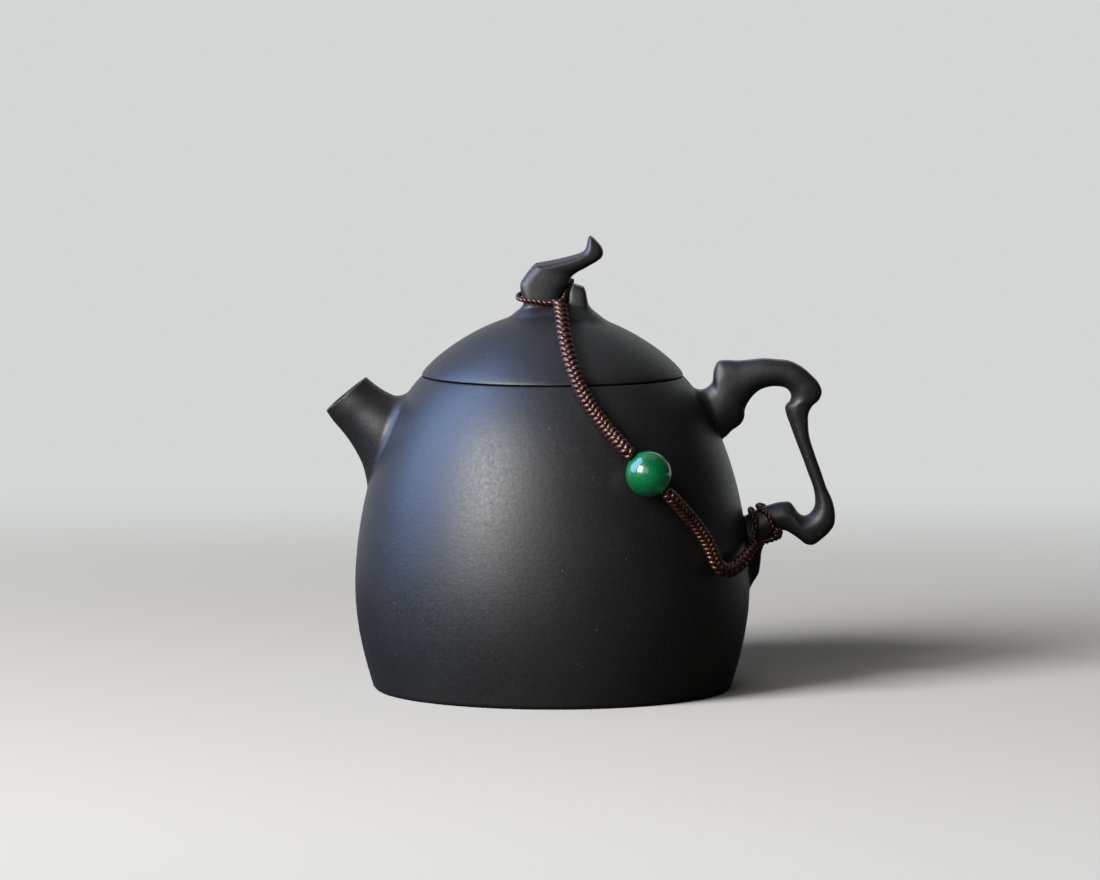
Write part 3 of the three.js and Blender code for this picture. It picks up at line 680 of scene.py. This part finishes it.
def strands(line, marks, facing, ways, thick, wide, sides=8, run_in=0.8):
    """Strands laid round a line. Each way gives the angle and the distance from the middle at each
    mark; thick and wide are a strand's half sizes there. They get thin over the length run_in at
    both ends. They carry their own UV map, in which U runs along a strand in millimetres and V
    round it."""
    first, second = carried(line, facing)
    ease = np.sqrt(np.clip(np.minimum(marks, marks[-1] - marks) / run_in, 0, 1))
    size = 0.05 + 0.95 * ease
    count = len(line)
    turn = 2 * math.pi * np.arange(sides)[:, None] / sides
    rings, faces, maps = [], [], []
    for number, (angle, off) in enumerate(ways):
        radial = first * np.cos(angle)[:, None] + second * np.sin(angle)[:, None]
        centre = line + radial * (off * (0.45 + 0.55 * ease))[:, None]
        along = unit(np.gradient(centre, axis=0))
        across = unit(np.cross(along, radial))
        out = np.cross(across, along)
        high, broad = ((half * size)[:, None, None] for half in (thick, wide))
        ring = out[:, None] * np.cos(turn) * high + across[:, None] * np.sin(turn) * broad
        rings.append(centre[:, None] + ring)
        start = number * count * sides
        faces += skin(count, sides, start)
        maps += [
            (marks[i + di], (j + dj) / sides)
            for i in range(count - 1) for j in range(sides) for di, dj in CORNERS
        ]
        for end in (0, count - 1):
            faces.append([start + end * sides + j for j in range(sides)])
            maps += [(marks[end], j / sides) for j in range(sides)]
    piece = meshed(np.concatenate(rings).reshape(-1, 3), faces)
    uv_map = piece.data.uv_layers.new(name="fibres")
    uv_map.data.foreach_set("uv", np.array(maps, np.float32).ravel())
    with editing(piece):
        bpy.ops.mesh.normals_make_consistent(inside=False)
    return piece


def plait(route, facing, taper=0.0, fine=24):
    """A round braid of four strands: two run one way round and two the other, and each goes over
    and under the others in turn. The braid is looser where it is pulled towards the knob and the
    handle. taper is how many millimetres of its end get thinner, and fine is how many points there
    are to two stitches."""
    props = bpy.context.scene.teapot_cord
    pitch = 2 * props.stitch / MM
    radius = FULLNESS * props.braid / MM / 2
    line, marks = even_steps(route, pitch / fine)
    size = np.ones(len(marks))
    if taper:
        size = 0.68 + 0.32 * smooth((marks[-1] - marks) / taper)
    # Fewer stitches where the braid runs from front to back, evened out along it
    across = np.hypot(np.gradient(line[:, 0]), np.gradient(line[:, 2]))
    share = np.maximum(across / np.linalg.norm(np.gradient(line, axis=0), axis=1), LEAST_SHARE)
    window = np.full(2 * fine + 1, 1 / (2 * fine + 1))
    share = np.convolve(np.pad(share, fine, mode="edge"), window, mode="valid")
    steps = np.concatenate([[0], (share[1:] + share[:-1]) / 2 * np.diff(marks)])
    turn = 2 * math.pi * np.cumsum(steps) / (0.85 * pitch)
    ways = []
    for hand, start in ((1, 0), (1, math.pi), (-1, math.pi / 2), (-1, -math.pi / 2)):
        angle = start + hand * turn
        over = hand * np.cos(2 * (angle - math.pi / 4))
        ways.append((angle, radius * (0.55 + 0.2 * over) * size))
    return strands(line, marks, facing, ways, 0.25 * radius * size, 0.33 * radius * size), line


def twisted(points, facing=(0, 0, 1)):
    """A thin cord of two strands twisted together."""
    props = bpy.context.scene.teapot_cord
    radius, pitch = props.thin / MM / 2, props.twist / MM
    line, marks = even_steps(points, pitch / 14)
    turn = 2 * math.pi * marks / pitch
    flat = np.full(len(marks), 0.5 * radius)
    ways = [(turn, flat), (turn + math.pi, flat)]
    return strands(line, marks, facing, ways, flat, 1.12 * flat)


def meeting(braid_end, off_middle, reach=1.1):
    """The end of a loop, which comes out of the end of a braid: a place between the braid's strands
    and one outside its end face, off its middle. Both are as far as reach from that face."""
    before, end = (np.array(p, float) for p in braid_end)
    onwards = unit(end - before)
    off_middle = np.array(off_middle)
    return [end - reach * onwards + 0.5 * off_middle, end + reach * onwards + off_middle]


def knob_loop_points():
    """One turn round the knob, from the braid and back to it."""
    braid = (UPPER_ROUTE[1], UPPER_ROUTE[0])
    loop = [np.array(p) + (0, 0, DOME_TOP) for p in KNOB_LOOP]
    return [*meeting(braid, (-0.9, 0, 0)), *loop, *meeting(braid, (0.9, 0, 0))[::-1]]


def handle_loop_points():
    """Two turns round the handle's lower arm, from the braid and back to it."""
    arm_x, arm_z = FOOT_ORIGIN[0] + 0.3, FOOT_ORIGIN[1] + 7.5

    def squared(value):
        """Closer to 1 or -1, so that the turns run round a square with soft corners."""
        return math.copysign(abs(value) ** (2 / 3), value)

    def on_turn(turn):
        angle = math.radians(-75 + 360 * turn)
        under = (1 - math.sin(angle)) / 2
        head = 0.1 + 1.6 * (turn - 0.46)
        share = min(max((turn - 0.6) / 0.5, 0), 1)
        foot = 2.3 + 3.9 * smooth(share) - 0.4 * max(0, turn - 1)
        height = 2.2 + 0.9 * (turn - 0.46) if math.sin(angle) > 0 else 3.7
        under **= 1 - 0.45 * share
        return (
            arm_x + head + (foot - head) * under,
            -4.6 * squared(math.cos(angle)),
            arm_z + height * squared(math.sin(angle)),
        )

    braid = LOWER_ROUTE[-2:]
    turns = [on_turn(t) for t in np.linspace(0.17, 1.96, 43)]
    return [
        *meeting(braid, (-0.75, 0.17, 0.28)), (44.8, -5.6, 34.8), *turns, *LOOP_RETURN,
        *meeting(braid, (0.75, -0.17, -0.28))[::-1],
    ]


# Finishes


class Finish:
    """Shader nodes that are added one by one to an empty tree."""

    def __init__(self, tree):
        self.tree = tree
        tree.nodes.clear()

    def node(self, kind, output=0, settings=(), **inputs):
        """Add a node: its settings first, then the values or links of its sockets. Names of
        sockets have _ for spaces, and in0, in1 go by number. Gives the output of that name."""
        node = self.tree.nodes.new("ShaderNode" + kind)
        for setting, value in dict(settings).items():
            setattr(node, setting, value)
        for name, value in inputs.items():
            numbered = name.startswith("in") and name[2:].isdigit()
            socket = node.inputs[int(name[2:]) if numbered else name.replace("_", " ")]
            if isinstance(value, Wire):
                self.tree.links.new(value.socket, socket)
            elif hasattr(value, "__len__") and len(value) < len(socket.default_value):
                socket.default_value = (*value, 1)
            else:
                socket.default_value = value
        return Wire(self, node.outputs[output]) if node.outputs else None

    def millimetres(self):
        """Where a point is on its piece, in millimetres."""
        return self.scaled(self.node("TexCoord", "Object"), 1 / MM)

    def mix(self, factor, a, b):
        """One colour over another. The node's colours have the numbers 6 and 7, and 2 as output."""
        return self.node("Mix", 2, {"data_type": "RGBA"}, in0=factor, in6=a, in7=b)

    def between(self, value, low, high):
        """0 below low, 1 above high, and smooth in the middle."""
        settings = {"interpolation_type": "SMOOTHSTEP"}
        return self.node("MapRange", "Result", settings, Value=value, From_Min=low, From_Max=high)

    def highest(self, first, *others):
        """The highest of several values."""
        for other in others:
            first = sum_of("MAXIMUM")(first, other)
        return first

    def scaled(self, vector, by):
        """The vector times a number, or times one number for each way."""
        by = (by, by, by) if isinstance(by, (int, float)) else by
        return self.node("VectorMath", "Vector", {"operation": "MULTIPLY"}, in0=vector, in1=by)

    def noise(self, vector, scale, detail=3, roughness=0.5):
        """Soft spots: so many across 1 of the vector, with finer ones on them."""
        return self.node("TexNoise", Vector=vector, Scale=scale, Detail=detail, Roughness=roughness)

    def bump(self, height, depth, strength=1.0, under=None):
        """The normal over hollows as deep as depth in metres, on top of another one."""
        more = {"Normal": under} if under else {}
        return self.node("Bump", Height=height, Distance=depth, Strength=strength, **more)


def sum_of(operation, swapped=False):
    """What Python does for an operator between a Wire and a number or another Wire."""
    def add_node(wire, other):
        a, b = (other, wire) if swapped else (wire, other)
        return wire.finish.node("Math", "Value", {"operation": operation}, in0=a, in1=b)
    return add_node


class Wire:
    """A node's output, for sums that are written as Python expressions."""

    def __init__(self, finish, socket):
        self.finish, self.socket = finish, socket

    __add__, __radd__ = sum_of("ADD"), sum_of("ADD", True)
    __sub__, __rsub__ = sum_of("SUBTRACT"), sum_of("SUBTRACT", True)
    __mul__, __rmul__ = sum_of("MULTIPLY"), sum_of("MULTIPLY", True)
    __gt__, __lt__ = sum_of("GREATER_THAN"), sum_of("LESS_THAN")


def made_once(shader):
    """Turn a function that adds a shader's nodes into one that gives the material of its name."""
    def material():
        made = bpy.data.materials.get(shader.__name__)
        if not made:
            made = bpy.data.materials.new(shader.__name__)
            made.use_nodes = True
            f = Finish(made.node_tree)
            f.node("OutputMaterial", Surface=shader(f))
        return made
    return material


def times(colour, by):
    return [part * by for part in colour]


@made_once
def burnished_clay(f):
    """Dark stoneware, burnished: fine grain, faint turning marks and a few pale specks."""
    props = bpy.context.scene.teapot_clay
    mm = f.millimetres()
    cloud = f.noise(mm, 0.09, 4)
    grain = f.noise(mm, 1.1, 4, 0.75)
    turning = f.noise(f.scaled(mm, (0.16, 0.16, 2.2)), 1.0, 3, 0.6)
    spots = {"Vector": mm, "Scale": 0.3}
    chance = f.node("SeparateColor", "Red", Color=f.node("TexVoronoi", "Color", **spots))
    near_spot = 1 - f.between(f.node("TexVoronoi", "Distance", **spots), 0.02, 0.05)
    speck = near_spot * (chance > 0.62)
    base = f.mix(cloud, times(props.colour, 0.8), times(props.colour, 1.25))
    dusty = f.mix(f.between(grain, 0.55, 0.8) * 0.35, base, times(props.colour, 1.9))
    pores = f.between(grain, 0.3, 0.7)
    normal = f.bump(grain, props.grain)
    normal = f.bump(turning, 0.00002, 0.35, normal)
    normal = f.bump(speck, 0.00003, 0.6, normal)
    return f.node(
        "BsdfPrincipled", Base_Color=f.mix(speck * 0.8, dusty, props.speck_colour), Normal=normal,
        Roughness=props.roughness - 0.03 + 0.08 * cloud + 0.1 * (pores - 0.5),
    )


@made_once
def bare_clay(f):
    """The same clay where nobody burnished it: inside and under the pot."""
    props = bpy.context.scene.teapot_clay
    mm = f.millimetres()
    cloud = f.noise(mm, 0.12, 4)
    grain = f.noise(mm, 1.7, 4, 0.7)
    return f.node(
        "BsdfPrincipled", Roughness=0.58 + 0.14 * cloud + 0.1 * (grain - 0.5),
        Base_Color=f.mix(cloud, times(props.colour, 1.1), times(props.colour, 2.0)),
        Normal=f.bump(grain, props.grain * 3),
    )


@made_once
def cord_fibre(f):
    """Glossy dark red-brown twisted fibre, whose base colour carries a painted sheen on the fibres
    and painted shade between them. U of the UV map runs along a strand, V round it.
    """
    props = bpy.context.scene.teapot_cord
    uv = f.node("UVMap", "UV", {"uv_map": "fibres"})
    fibres = f.noise(f.scaled(uv, (0.9, 14, 1)), 1.0, 2, 0.6)
    shade = f.noise(f.millimetres(), 0.5, 2)
    # A fibre pattern in the base colour: the lighter fibres are a painted sheen, the darker hollows
    # painted shade.
    light = f.between(fibres, 0.35, 0.7) * (0.45 + 0.5 * shade)
    return f.node(
        "BsdfPrincipled", Base_Color=f.mix(light, props.colour, props.sheen_colour),
        Roughness=0.22 + 0.16 * fibres, Normal=f.bump(fibres, 0.00006, 0.8), IOR=1.52,
        Specular_IOR_Level=1.0, Specular_Tint=(1.0, 0.62, 0.47),
    )


@made_once
def green_stone(f):
    """Polished, cloudy, translucent stone."""
    props = bpy.context.scene.teapot_bead
    mm = f.millimetres()
    cloud = f.between(f.noise(mm, 0.16, 3), 0.35, 0.7)
    fine = f.noise(mm, 0.8, 3)
    return f.node(
        "BsdfPrincipled", Base_Color=f.mix(cloud, props.colour, props.cloud_colour),
        Roughness=0.3 + 0.08 * fine, Normal=f.bump(fine, 0.000004, 0.3), IOR=1.54,
        Transmission_Weight=0.55, Specular_IOR_Level=0.0, Coat_Weight=1.0, Coat_Roughness=0.02,
    )


def seen(f):
    """1 for rays that show the backdrop: from the camera, in gloss and through stone."""
    rays = ("Camera", "Glossy", "Transmission")
    return f.highest(*(f.node("LightPath", f"Is {ray} Ray") for ray in rays))


@made_once
def pale_floor(f):
    """Pale ground in the light, which runs out into the plain backdrop. For rays that don't come
    from the camera it is nearly black, so that it throws hardly any light on the pot."""
    props = bpy.context.scene.teapot_stage
    place = f.node("TexCoord", "Object")
    camera = f.node("LightPath", "Is Camera Ray")
    lit = f.node(
        "BsdfPrincipled", Roughness=0.7, Normal=f.bump(f.noise(f.millimetres(), 1.2), 0.00002, 0.3),
        Base_Color=f.mix(camera, times(props.floor_colour, 0.08), props.floor_colour),
        Specular_IOR_Level=0.0,
    )
    plain = f.node("Emission", Color=props.backdrop_colour, Strength=1.0)
    distance = f.node("VectorMath", "Value", {"operation": "LENGTH"}, in0=place)
    behind = f.between(f.node("SeparateXYZ", "Y", Vector=place), 0.15, 0.45)
    away = f.highest(f.between(distance, 0.14, 0.5) * camera, behind * seen(f))
    return f.node("MixShader", in0=away, in1=lit, in2=plain)


# Operators


class TeapotCamera(bpy.types.Operator):
    """Set up the camera in front of the pot"""

    bl_idname = "teapot.camera"
    bl_label = "Camera"

    def execute(self, context):
        nothing_selected()
        tilt = math.radians(90 - CAMERA_TILT)
        bpy.ops.object.camera_add(location=CAMERA_PLACE, rotation=(tilt, 0, 0))
        camera = context.object
        camera.name = "camera"
        camera.data.sensor_width = CAMERA_SENSOR
        camera.data.lens = CAMERA_LENS
        camera.data.clip_start, camera.data.clip_end = CAMERA_CLIP
        context.scene.camera = camera
        return {"FINISHED"}


class TeapotLoops(bpy.types.Operator):
    """Make the thin twisted loops, the knot and the core inside the bead"""

    bl_idname = "teapot.loops"
    bl_label = "Loops and knot"

    def execute(self, context):
        for name, points, body, node in (
            ("knob_cord", knob_loop_points(), "lid", "knob_loop"),
            ("handle_cord", handle_loop_points(), "pot", "handle_loop"),
        ):
            finished(twisted(points), name, cord_fibre(), body, "cord", node, angle=50)

        # The knot's line crosses itself three times.
        turn = np.linspace(0, 2 * math.pi, 25)[:-1]
        ring = 0.62 + 0.26 * np.cos(3 * turn)
        knot = [ring * np.cos(2 * turn), 0.3 * np.sin(3 * turn), ring * np.sin(2 * turn)]
        knot = twisted(np.stack(knot, axis=1) + KNOT_CENTRE, (0, 1, 0))
        finished(knot, "handle_cord_knot", cord_fibre(), "pot", "cord", "handle_knot", angle=50)

        half = unit(np.array(BEAD_AXIS)) * BEAD_CORE
        core = twisted([np.array(BEAD_CENTRE) + half * t for t in (-1, -0.5, 0, 0.5, 1)])
        finished(core, "bead_core", cord_fibre(), "lid", "cord", "bead_thread", angle=50)
        return {"FINISHED"}


class TeapotPlaits(bpy.types.Operator):
    """Make the two braids above and below the bead"""

    bl_idname = "teapot.plaits"
    bl_label = "Braids"

    def execute(self, context):
        upper, line = plait(UPPER_ROUTE, (0, -0.39, 0.92))
        finished(upper, "upper_plait", cord_fibre(), "lid", "cord", "upper_braid", angle=50)
        self.declare(upper, line, ["knob_cord", "stone_bead", "bead_core"])
        lower, line = plait(LOWER_ROUTE, (0, -1, 0), taper=14)
        finished(lower, "lower_plait", cord_fibre(), None, "cord", "lower_braid", angle=50)
        self.declare(lower, line, ["handle_cord", "handle_cord_knot"])
        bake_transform(lower)
        return {"FINISHED"}

    @staticmethod
    def declare(piece, line, on_it):
        """Does nothing with the piece, its line or the pieces named: where the cord runs is not
        declared.
        """


class TeapotBeadMaker(bpy.types.Operator):
    """Turn the stone bead, with its bore"""

    bl_idname = "teapot.bead"
    bl_label = "Bead"

    def execute(self, context):
        radius = context.scene.teapot_bead.diameter / MM / 2
        start = math.asin((BEAD_BORE + 0.15) / radius)
        arc = np.linspace(start, math.pi - start, 41)
        outline = [(radius * math.sin(a), -radius * math.cos(a)) for a in arc]
        bore = outline[-1][1] - 0.2
        outline += [(BEAD_BORE, bore), (BEAD_BORE, -bore)]
        bead = turned(outline, 96)
        bead.rotation_euler = Vector(BEAD_AXIS).to_track_quat("Z", "Y").to_euler()
        bead.location = Vector(BEAD_CENTRE) * MM
        bpy.ops.object.transform_apply()
        finished(bead, "stone_bead", green_stone(), "bead", "bead_stone", "bead", angle=50)
        return {"FINISHED"}


class TeapotPot(bpy.types.Operator):
    """Turn the pot's floor, its wall and the seat for the lid, and pierce the wall for the spout"""

    bl_idname = "teapot.pot"
    bl_label = "Pot"

    def execute(self, context):
        outside = pot_outline()
        inside = shifted(outside, -POT_WALL)
        seat_low = SEAT_HEIGHT - SEAT_THICKNESS

        floor = turned(floor_outline())
        finished(floor, "pot_floor", burnished_clay(), "pot", "bare_clay", "base_plate")

        front = between(outside, FLOOR_THICKNESS, seat_low).tolist()
        back = between(inside, FLOOR_THICKNESS, seat_low)[::-1].tolist()
        wall = turned([*front, *back])
        before, length = 4, 24
        start = SPOUT_MOUTH - before * SPOUT_INWARDS
        ends = (BORE_MOUTH + BORE_GROWTH * along for along in (-before, length - before))
        cut(wall, rod(start, SPOUT_INWARDS, length, *ends, 64))
        finished(wall, "pot_wall", burnished_clay(), "pot", "clay", "body_wall")

        ring = between(outside, seat_low, SEAT_HEIGHT).tolist()
        top = len(ring) - 1
        ring += [(MOUTH_RADIUS, SEAT_HEIGHT), (MOUTH_RADIUS, seat_low)]
        ring = eased(eased(ring, top + 1, 0.5), top, 0.4)
        finished(turned(ring), "pot_seat", burnished_clay(), "pot", "bare_clay", "mouth_ring")
        return {"FINISHED"}


def floor_outline():
    """The pot's floor: a soft edge that it stands on, and a shallow hollow under the middle."""
    side = between(pot_outline(), 0.8, FLOOR_THICKNESS).tolist()
    foot = FOOT_RADIUS - 0.9
    edge = [(foot, 0), (foot + 0.45, 0.08), (foot + 0.8, 0.35)]
    hollow = [(0, 0.5), (foot - 6.5, 0.5), (foot - 5.8, 0.35), (foot - 5.2, 0.1), (foot - 4.8, 0)]
    return [*hollow, *edge, *side, (0, FLOOR_THICKNESS)]


class TeapotSpout(bpy.types.Operator):
    """Make the spout, and the pierced dome inside the pot"""

    bl_idname = "teapot.spout"
    bl_label = "Spout and strainer"

    def execute(self, context):
        sides, count = 72, 90
        angle = np.linspace(0, 2 * math.pi, sides, endpoint=False)
        section = np.stack([np.cos(angle), np.sin(angle)], axis=1)
        rows = rings_over(SPOUT_STATIONS, SPOUT_ROOT, section, count)
        fillet, least = context.scene.teapot_clay.root_fillet / MM, 0.35
        upper_side = (1 + section[:, 0]) / 2
        by_side = least + (fillet - least) * upper_side**0.8
        outer = rooted(rows, Ground(pot_outline()), by_side)

        rim = outer[0]
        centre = rim.mean(axis=0)
        upwards = unit(rim[0] - centre)
        inwards = np.cross(upwards, (0, 1, 0))
        inwards *= math.copysign(1, inwards @ SPOUT_INWARDS)

        def bore(depth, wider=0.0):
            radius = BORE_MOUTH + BORE_GROWTH * depth + wider
            across = np.cos(angle)[:, None] * upwards - np.sin(angle)[:, None] * np.array((0, 1, 0))
            return centre + inwards * depth + across * radius

        # The mouth's edge is rounded on its outside and inside, and the bore goes down from it.
        lip = 0.22
        narrowed = centre + (rim - centre) * (1 - lip / 6)
        outer[0] = rim + inwards * lip
        edge = [narrowed + (rim - narrowed) * 0.7 + inwards * lip * 0.3, narrowed]
        inner = [bore(0, 0.3), bore(0.1, 0.1), *(bore(d) for d in np.linspace(0.35, 11, 12))]
        spout = strung(np.concatenate([inner[::-1], edge[::-1], outer]), joined=True)
        finished(spout, "pot_spout", burnished_clay(), "pot", "clay", "spout", angle=40)
        self.strainer()
        return {"FINISHED"}

    @staticmethod
    def strainer():
        """A thin ball, of which the part inside the pot's hollow is left, with rings of holes."""
        nothing_selected()
        balls = []
        for radius in (STRAINER_RADIUS, STRAINER_RADIUS - STRAINER_WALL):
            bpy.ops.mesh.primitive_uv_sphere_add(
                segments=64, ring_count=32, radius=radius * MM, location=STRAINER_PLACE * MM
            )
            bpy.ops.object.transform_apply()
            balls.append(bpy.context.object)
        dome = cut(*balls)
        inside = shifted(pot_outline(), 0.05 - POT_WALL)
        side = between(inside, FLOOR_THICKNESS, SEAT_HEIGHT - SEAT_THICKNESS).tolist()
        cut(dome, turned([(0, side[0][1]), *side, (0, side[-1][1])], 96), "INTERSECT")
        middle = Vector(STRAINER_MIDDLE).normalized()
        for count, tilt in STRAINER_RINGS:
            for i in range(count):
                way = middle.copy()
                way.rotate(Quaternion((0, 1, 0), tilt))
                way.rotate(Quaternion(middle, 2 * math.pi * i / count))
                start = Vector(STRAINER_PLACE) + 3 * way
                cut(dome, rod(start, way, STRAINER_RADIUS - 1, STRAINER_HOLE, STRAINER_HOLE, 16))
        finished(dome, "pot_strainer", bare_clay(), "pot", "bare_clay", "strainer")


class TeapotHandle(bpy.types.Operator):
    """Carve the handle"""

    bl_idname = "teapot.handle"
    bl_label = "Handle"

    def execute(self, context):
        section = softened(HANDLE_SECTION)
        upper = np.array(HANDLE_STATIONS) + (*HANDLE_ORIGIN, *HANDLE_ORIGIN, 0)
        lower = np.array(FOOT_STATIONS) + (*FOOT_ORIGIN, *FOOT_ORIGIN, 0)
        count, middle = 380, 200
        rows = rings_over(np.vstack([upper, lower]), (0, 0), section, count)
        ground = Ground(pot_outline())  # that both ends of the handle grow from
        above = rooted(rows[middle::-1], ground, 1.5 + 0.9 * section[:, 0])
        below = rooted(rows[middle:], ground, 1.1 + 0.3 * section[:, 0])
        handle = strung(np.concatenate([above[::-1], below[1:]]))
        finished(handle, "pot_handle", burnished_clay(), "pot", "clay", "handle", angle=50)
        return {"FINISHED"}


class TeapotLid(bpy.types.Operator):
    """Turn the lid and its flange, and pierce the vent"""

    bl_idname = "teapot.lid"
    bl_label = "Lid"

    def execute(self, context):
        outside = dome_outline()
        inside = shifted(outside, -LID_WALL)
        inside = inside[inside[:, 1] > LID_SEAT + 0.1]
        inside[-1, 0] = 0
        outline = [*outside.tolist(), *inside[::-1].tolist(), (inside[0][0], LID_SEAT)]
        shell = turned(eased(outline, 0, 0.45))
        vent = rod((0, VENT_PLACE, DOME_TOP - 9), (0, 0, 1), 18, VENT_RADIUS, VENT_RADIUS, 32)
        cut(shell, vent)
        finished(shell, "lid_shell", burnished_clay(), "lid", "clay", "lid_dome")

        inner = FLANGE_RADIUS - FLANGE_WALL
        under = inside[(inside[:, 0] < FLANGE_RADIUS) & (inside[:, 0] > inner)]

        def height(radius):
            return float(np.interp(radius, inside[::-1, 0], inside[::-1, 1]))

        ring = [(FLANGE_RADIUS, FLANGE_FOOT), (FLANGE_RADIUS, height(FLANGE_RADIUS)),
                *under.tolist(), (inner, height(inner)), (inner, FLANGE_FOOT)]
        ring = eased(eased(ring, len(ring) - 1, 0.5), 0, 0.5)
        finished(turned(ring), "lid_ring", bare_clay(), "lid", "bare_clay", "lid_flange")
        return {"FINISHED"}


class TeapotKnob(bpy.types.Operator):
    """Carve the knob"""

    bl_idname = "teapot.knob"
    bl_label = "Knob"

    def execute(self, context):
        origin = (0, DOME_TOP)
        fillet = context.scene.teapot_clay.root_fillet / MM
        section = softened(NECK_SECTION)
        neck = rings_over(NECK_STATIONS, origin, section, 80)
        by_side = 0.66 * fillet + 0.3 * fillet * np.abs(section[:, 0]) ** 1.5
        spread = 1.6 + 0.45 * np.clip(-section[:, 0], 0, 1) ** 2
        neck = rooted(neck, Ground(dome_outline(80)), by_side, spread=spread)
        under = neck[-1:] - np.array((0, 0, 1.0))  # the neck ends inside the lid's clay

        count = 241
        sections = changing(
            [BODY_SECTION, BODY_SECTION, ARM_SECTION, ARM_SECTION, TIP_SECTION, TIP_SECTION],
            [0, 0.34, 0.52, 0.7, 0.84, 1], count,
        )
        branch = rings_over(BRANCH_STATIONS, origin, sections, count)
        # The top of the branch leans towards the front.
        raised = smooth((branch[..., 2] - DOME_TOP - 6.5) / 3.5)
        branch[..., 2] += 0.1 * branch[..., 1] * raised

        # The notch between branch and stub is filled up to its floor.
        notch = []
        for y, top in NOTCH_FLOOR:
            low, high = DOME_TOP + 0.4, DOME_TOP + top
            section = [(0.8, low), (5, low), (5, high), (2.9, high - 0.1), (0.8, high)]
            notch.append([(x, y, z) for x, z in section])
        parts = [
            strung(np.concatenate([neck, under])),
            strung(branch),
            strung(rings_over(STUB_STATIONS, origin, softened(STUB_SECTION), 40)),
            strung(np.array(notch)),
        ]
        # The parts are melted into one, and the root is smoothed further than the rest.
        nothing_selected()
        for part in parts:
            part.select_set(True)
        context.view_layer.objects.active = parts[0]
        bpy.ops.object.join()
        knob = context.object
        modified(knob, "REMESH", mode="VOXEL", voxel_size=KNOB_VOXEL * MM, adaptivity=0)
        modified(knob, "SMOOTH", factor=0.5, iterations=6)
        root = knob.vertex_groups.new(name="root")
        low, high, fade = KNOB_ROOT
        for vertex in knob.data.vertices:
            height = vertex.co.z / MM - DOME_TOP
            if low < height < high:
                root.add([vertex.index], min(1, (high - height) / fade), "REPLACE")
        modified(knob, "SMOOTH", factor=0.5, iterations=60, vertex_group="root")
        self.run_out(knob)
        finished(knob, "lid_branch", burnished_clay(), "lid", "clay", "lid_knob", angle=60)
        return {"FINISHED"}

    @staticmethod
    def run_out(knob, reach=0.8):
        """Lay the last of the root, as high as reach in millimetres, flat against the dome."""
        vertices = knob.data.vertices
        places = np.empty(len(vertices) * 3, np.float32)
        vertices.foreach_get("co", places)
        places = places.reshape(-1, 3) / MM
        near = np.nonzero(places[:, 2] < DOME_TOP + reach)[0]
        height, out = Ground(dome_outline(80)).above(places[near].astype(float))
        share = np.clip(height / reach, 0, 1)
        places[near] += out * (reach * (share**2 * (2 - share)) - reach * share)[:, None]
        vertices.foreach_set("co", (places * MM).ravel())
        knob.data.update()


class TeapotStageMaker(bpy.types.Operator):
    """Lay the floor, light the pot and set the view"""

    bl_idname = "teapot.stage"
    bl_label = "Floor and light"

    def execute(self, context):
        nothing_selected()
        bpy.ops.mesh.primitive_circle_add(vertices=96, radius=FLOOR_RADIUS, fill_type="NGON")
        floor = context.object
        floor.name = "floor"
        floor.data.materials.append(pale_floor())
        self.world(context.scene)
        for name, power, place, size, colour in LAMPS:
            nothing_selected()
            aim = (Vector(LAMPS_LOOK_AT) - Vector(place)).to_track_quat("-Z", "Y").to_euler()
            bpy.ops.object.light_add(type="AREA", location=place, rotation=aim)
            lamp = context.object
            lamp.name = name
            lamp.visible_diffuse = name != "window"
            lamp.data.shape = "RECTANGLE"
            lamp.data.size, lamp.data.size_y = size
            lamp.data.energy = getattr(context.scene.teapot_stage, power)
            lamp.data.color = colour
        context.scene.view_settings.view_transform = "Standard"
        return {"FINISHED"}

    @staticmethod
    def world(scene):
        """The backdrop behind the pot, as bright as it shows, and a dim light from all round."""
        scene.world = bpy.data.worlds.new("studio")
        scene.world.use_nodes = True
        f = Finish(scene.world.node_tree)
        way = f.node("TexCoord", "Generated")
        back = f.between(f.node("SeparateXYZ", "Y", Vector=way), 0.5, 0.85)
        left = f.node("SeparateXYZ", "X", Vector=way) * -1
        dim = 0.03 + 0.07 * f.between(left, -0.2, 0.9)
        strength = f.highest(f.node("LightPath", "Is Camera Ray"), dim, back * seen(f))
        shader = f.node("Background", Color=scene.teapot_stage.backdrop_colour, Strength=strength)
        f.node("OutputWorld", Surface=shader)


class TEAPOT_PT_pieces(bpy.types.Panel):
    """Sizes, colours and the pieces to make."""

    bl_label = "Clay teapot"
    bl_space_type = "VIEW_3D"
    bl_region_type = "UI"
    bl_category = "Teapot"

    def draw(self, context):
        layout = self.layout
        for group, name in GROUPS:
            box = layout.box()
            box.label(text=group.__doc__.rstrip("."))
            for key in group.__annotations__:
                box.prop(getattr(context.scene, name), key)
        for maker in MAKERS:
            layout.operator(maker.bl_idname)


GROUPS = [
    (TeapotClay, "teapot_clay"),
    (TeapotCord, "teapot_cord"),
    (TeapotBead, "teapot_bead"),
    (TeapotStage, "teapot_stage"),
]
MAKERS = [
    TeapotCamera, TeapotLoops, TeapotBeadMaker, TeapotPlaits, TeapotPot, TeapotSpout, TeapotHandle,
    TeapotLid, TeapotKnob, TeapotStageMaker,
]


def register():
    for group, name in GROUPS:
        bpy.utils.register_class(group)
        setattr(bpy.types.Scene, name, PointerProperty(type=group))
    for maker in MAKERS:
        bpy.utils.register_class(maker)
    bpy.utils.register_class(TEAPOT_PT_pieces)


def unregister():
    bpy.utils.unregister_class(TEAPOT_PT_pieces)
    for maker in reversed(MAKERS):
        bpy.utils.unregister_class(maker)
    for group, name in reversed(GROUPS):
        delattr(bpy.types.Scene, name)
        bpy.utils.unregister_class(group)


def main():
    register()
    for maker in MAKERS:
        getattr(bpy.ops.teapot, maker.bl_idname.partition(".")[2])()
    nothing_selected()


if __name__ == "__main__":
    main()
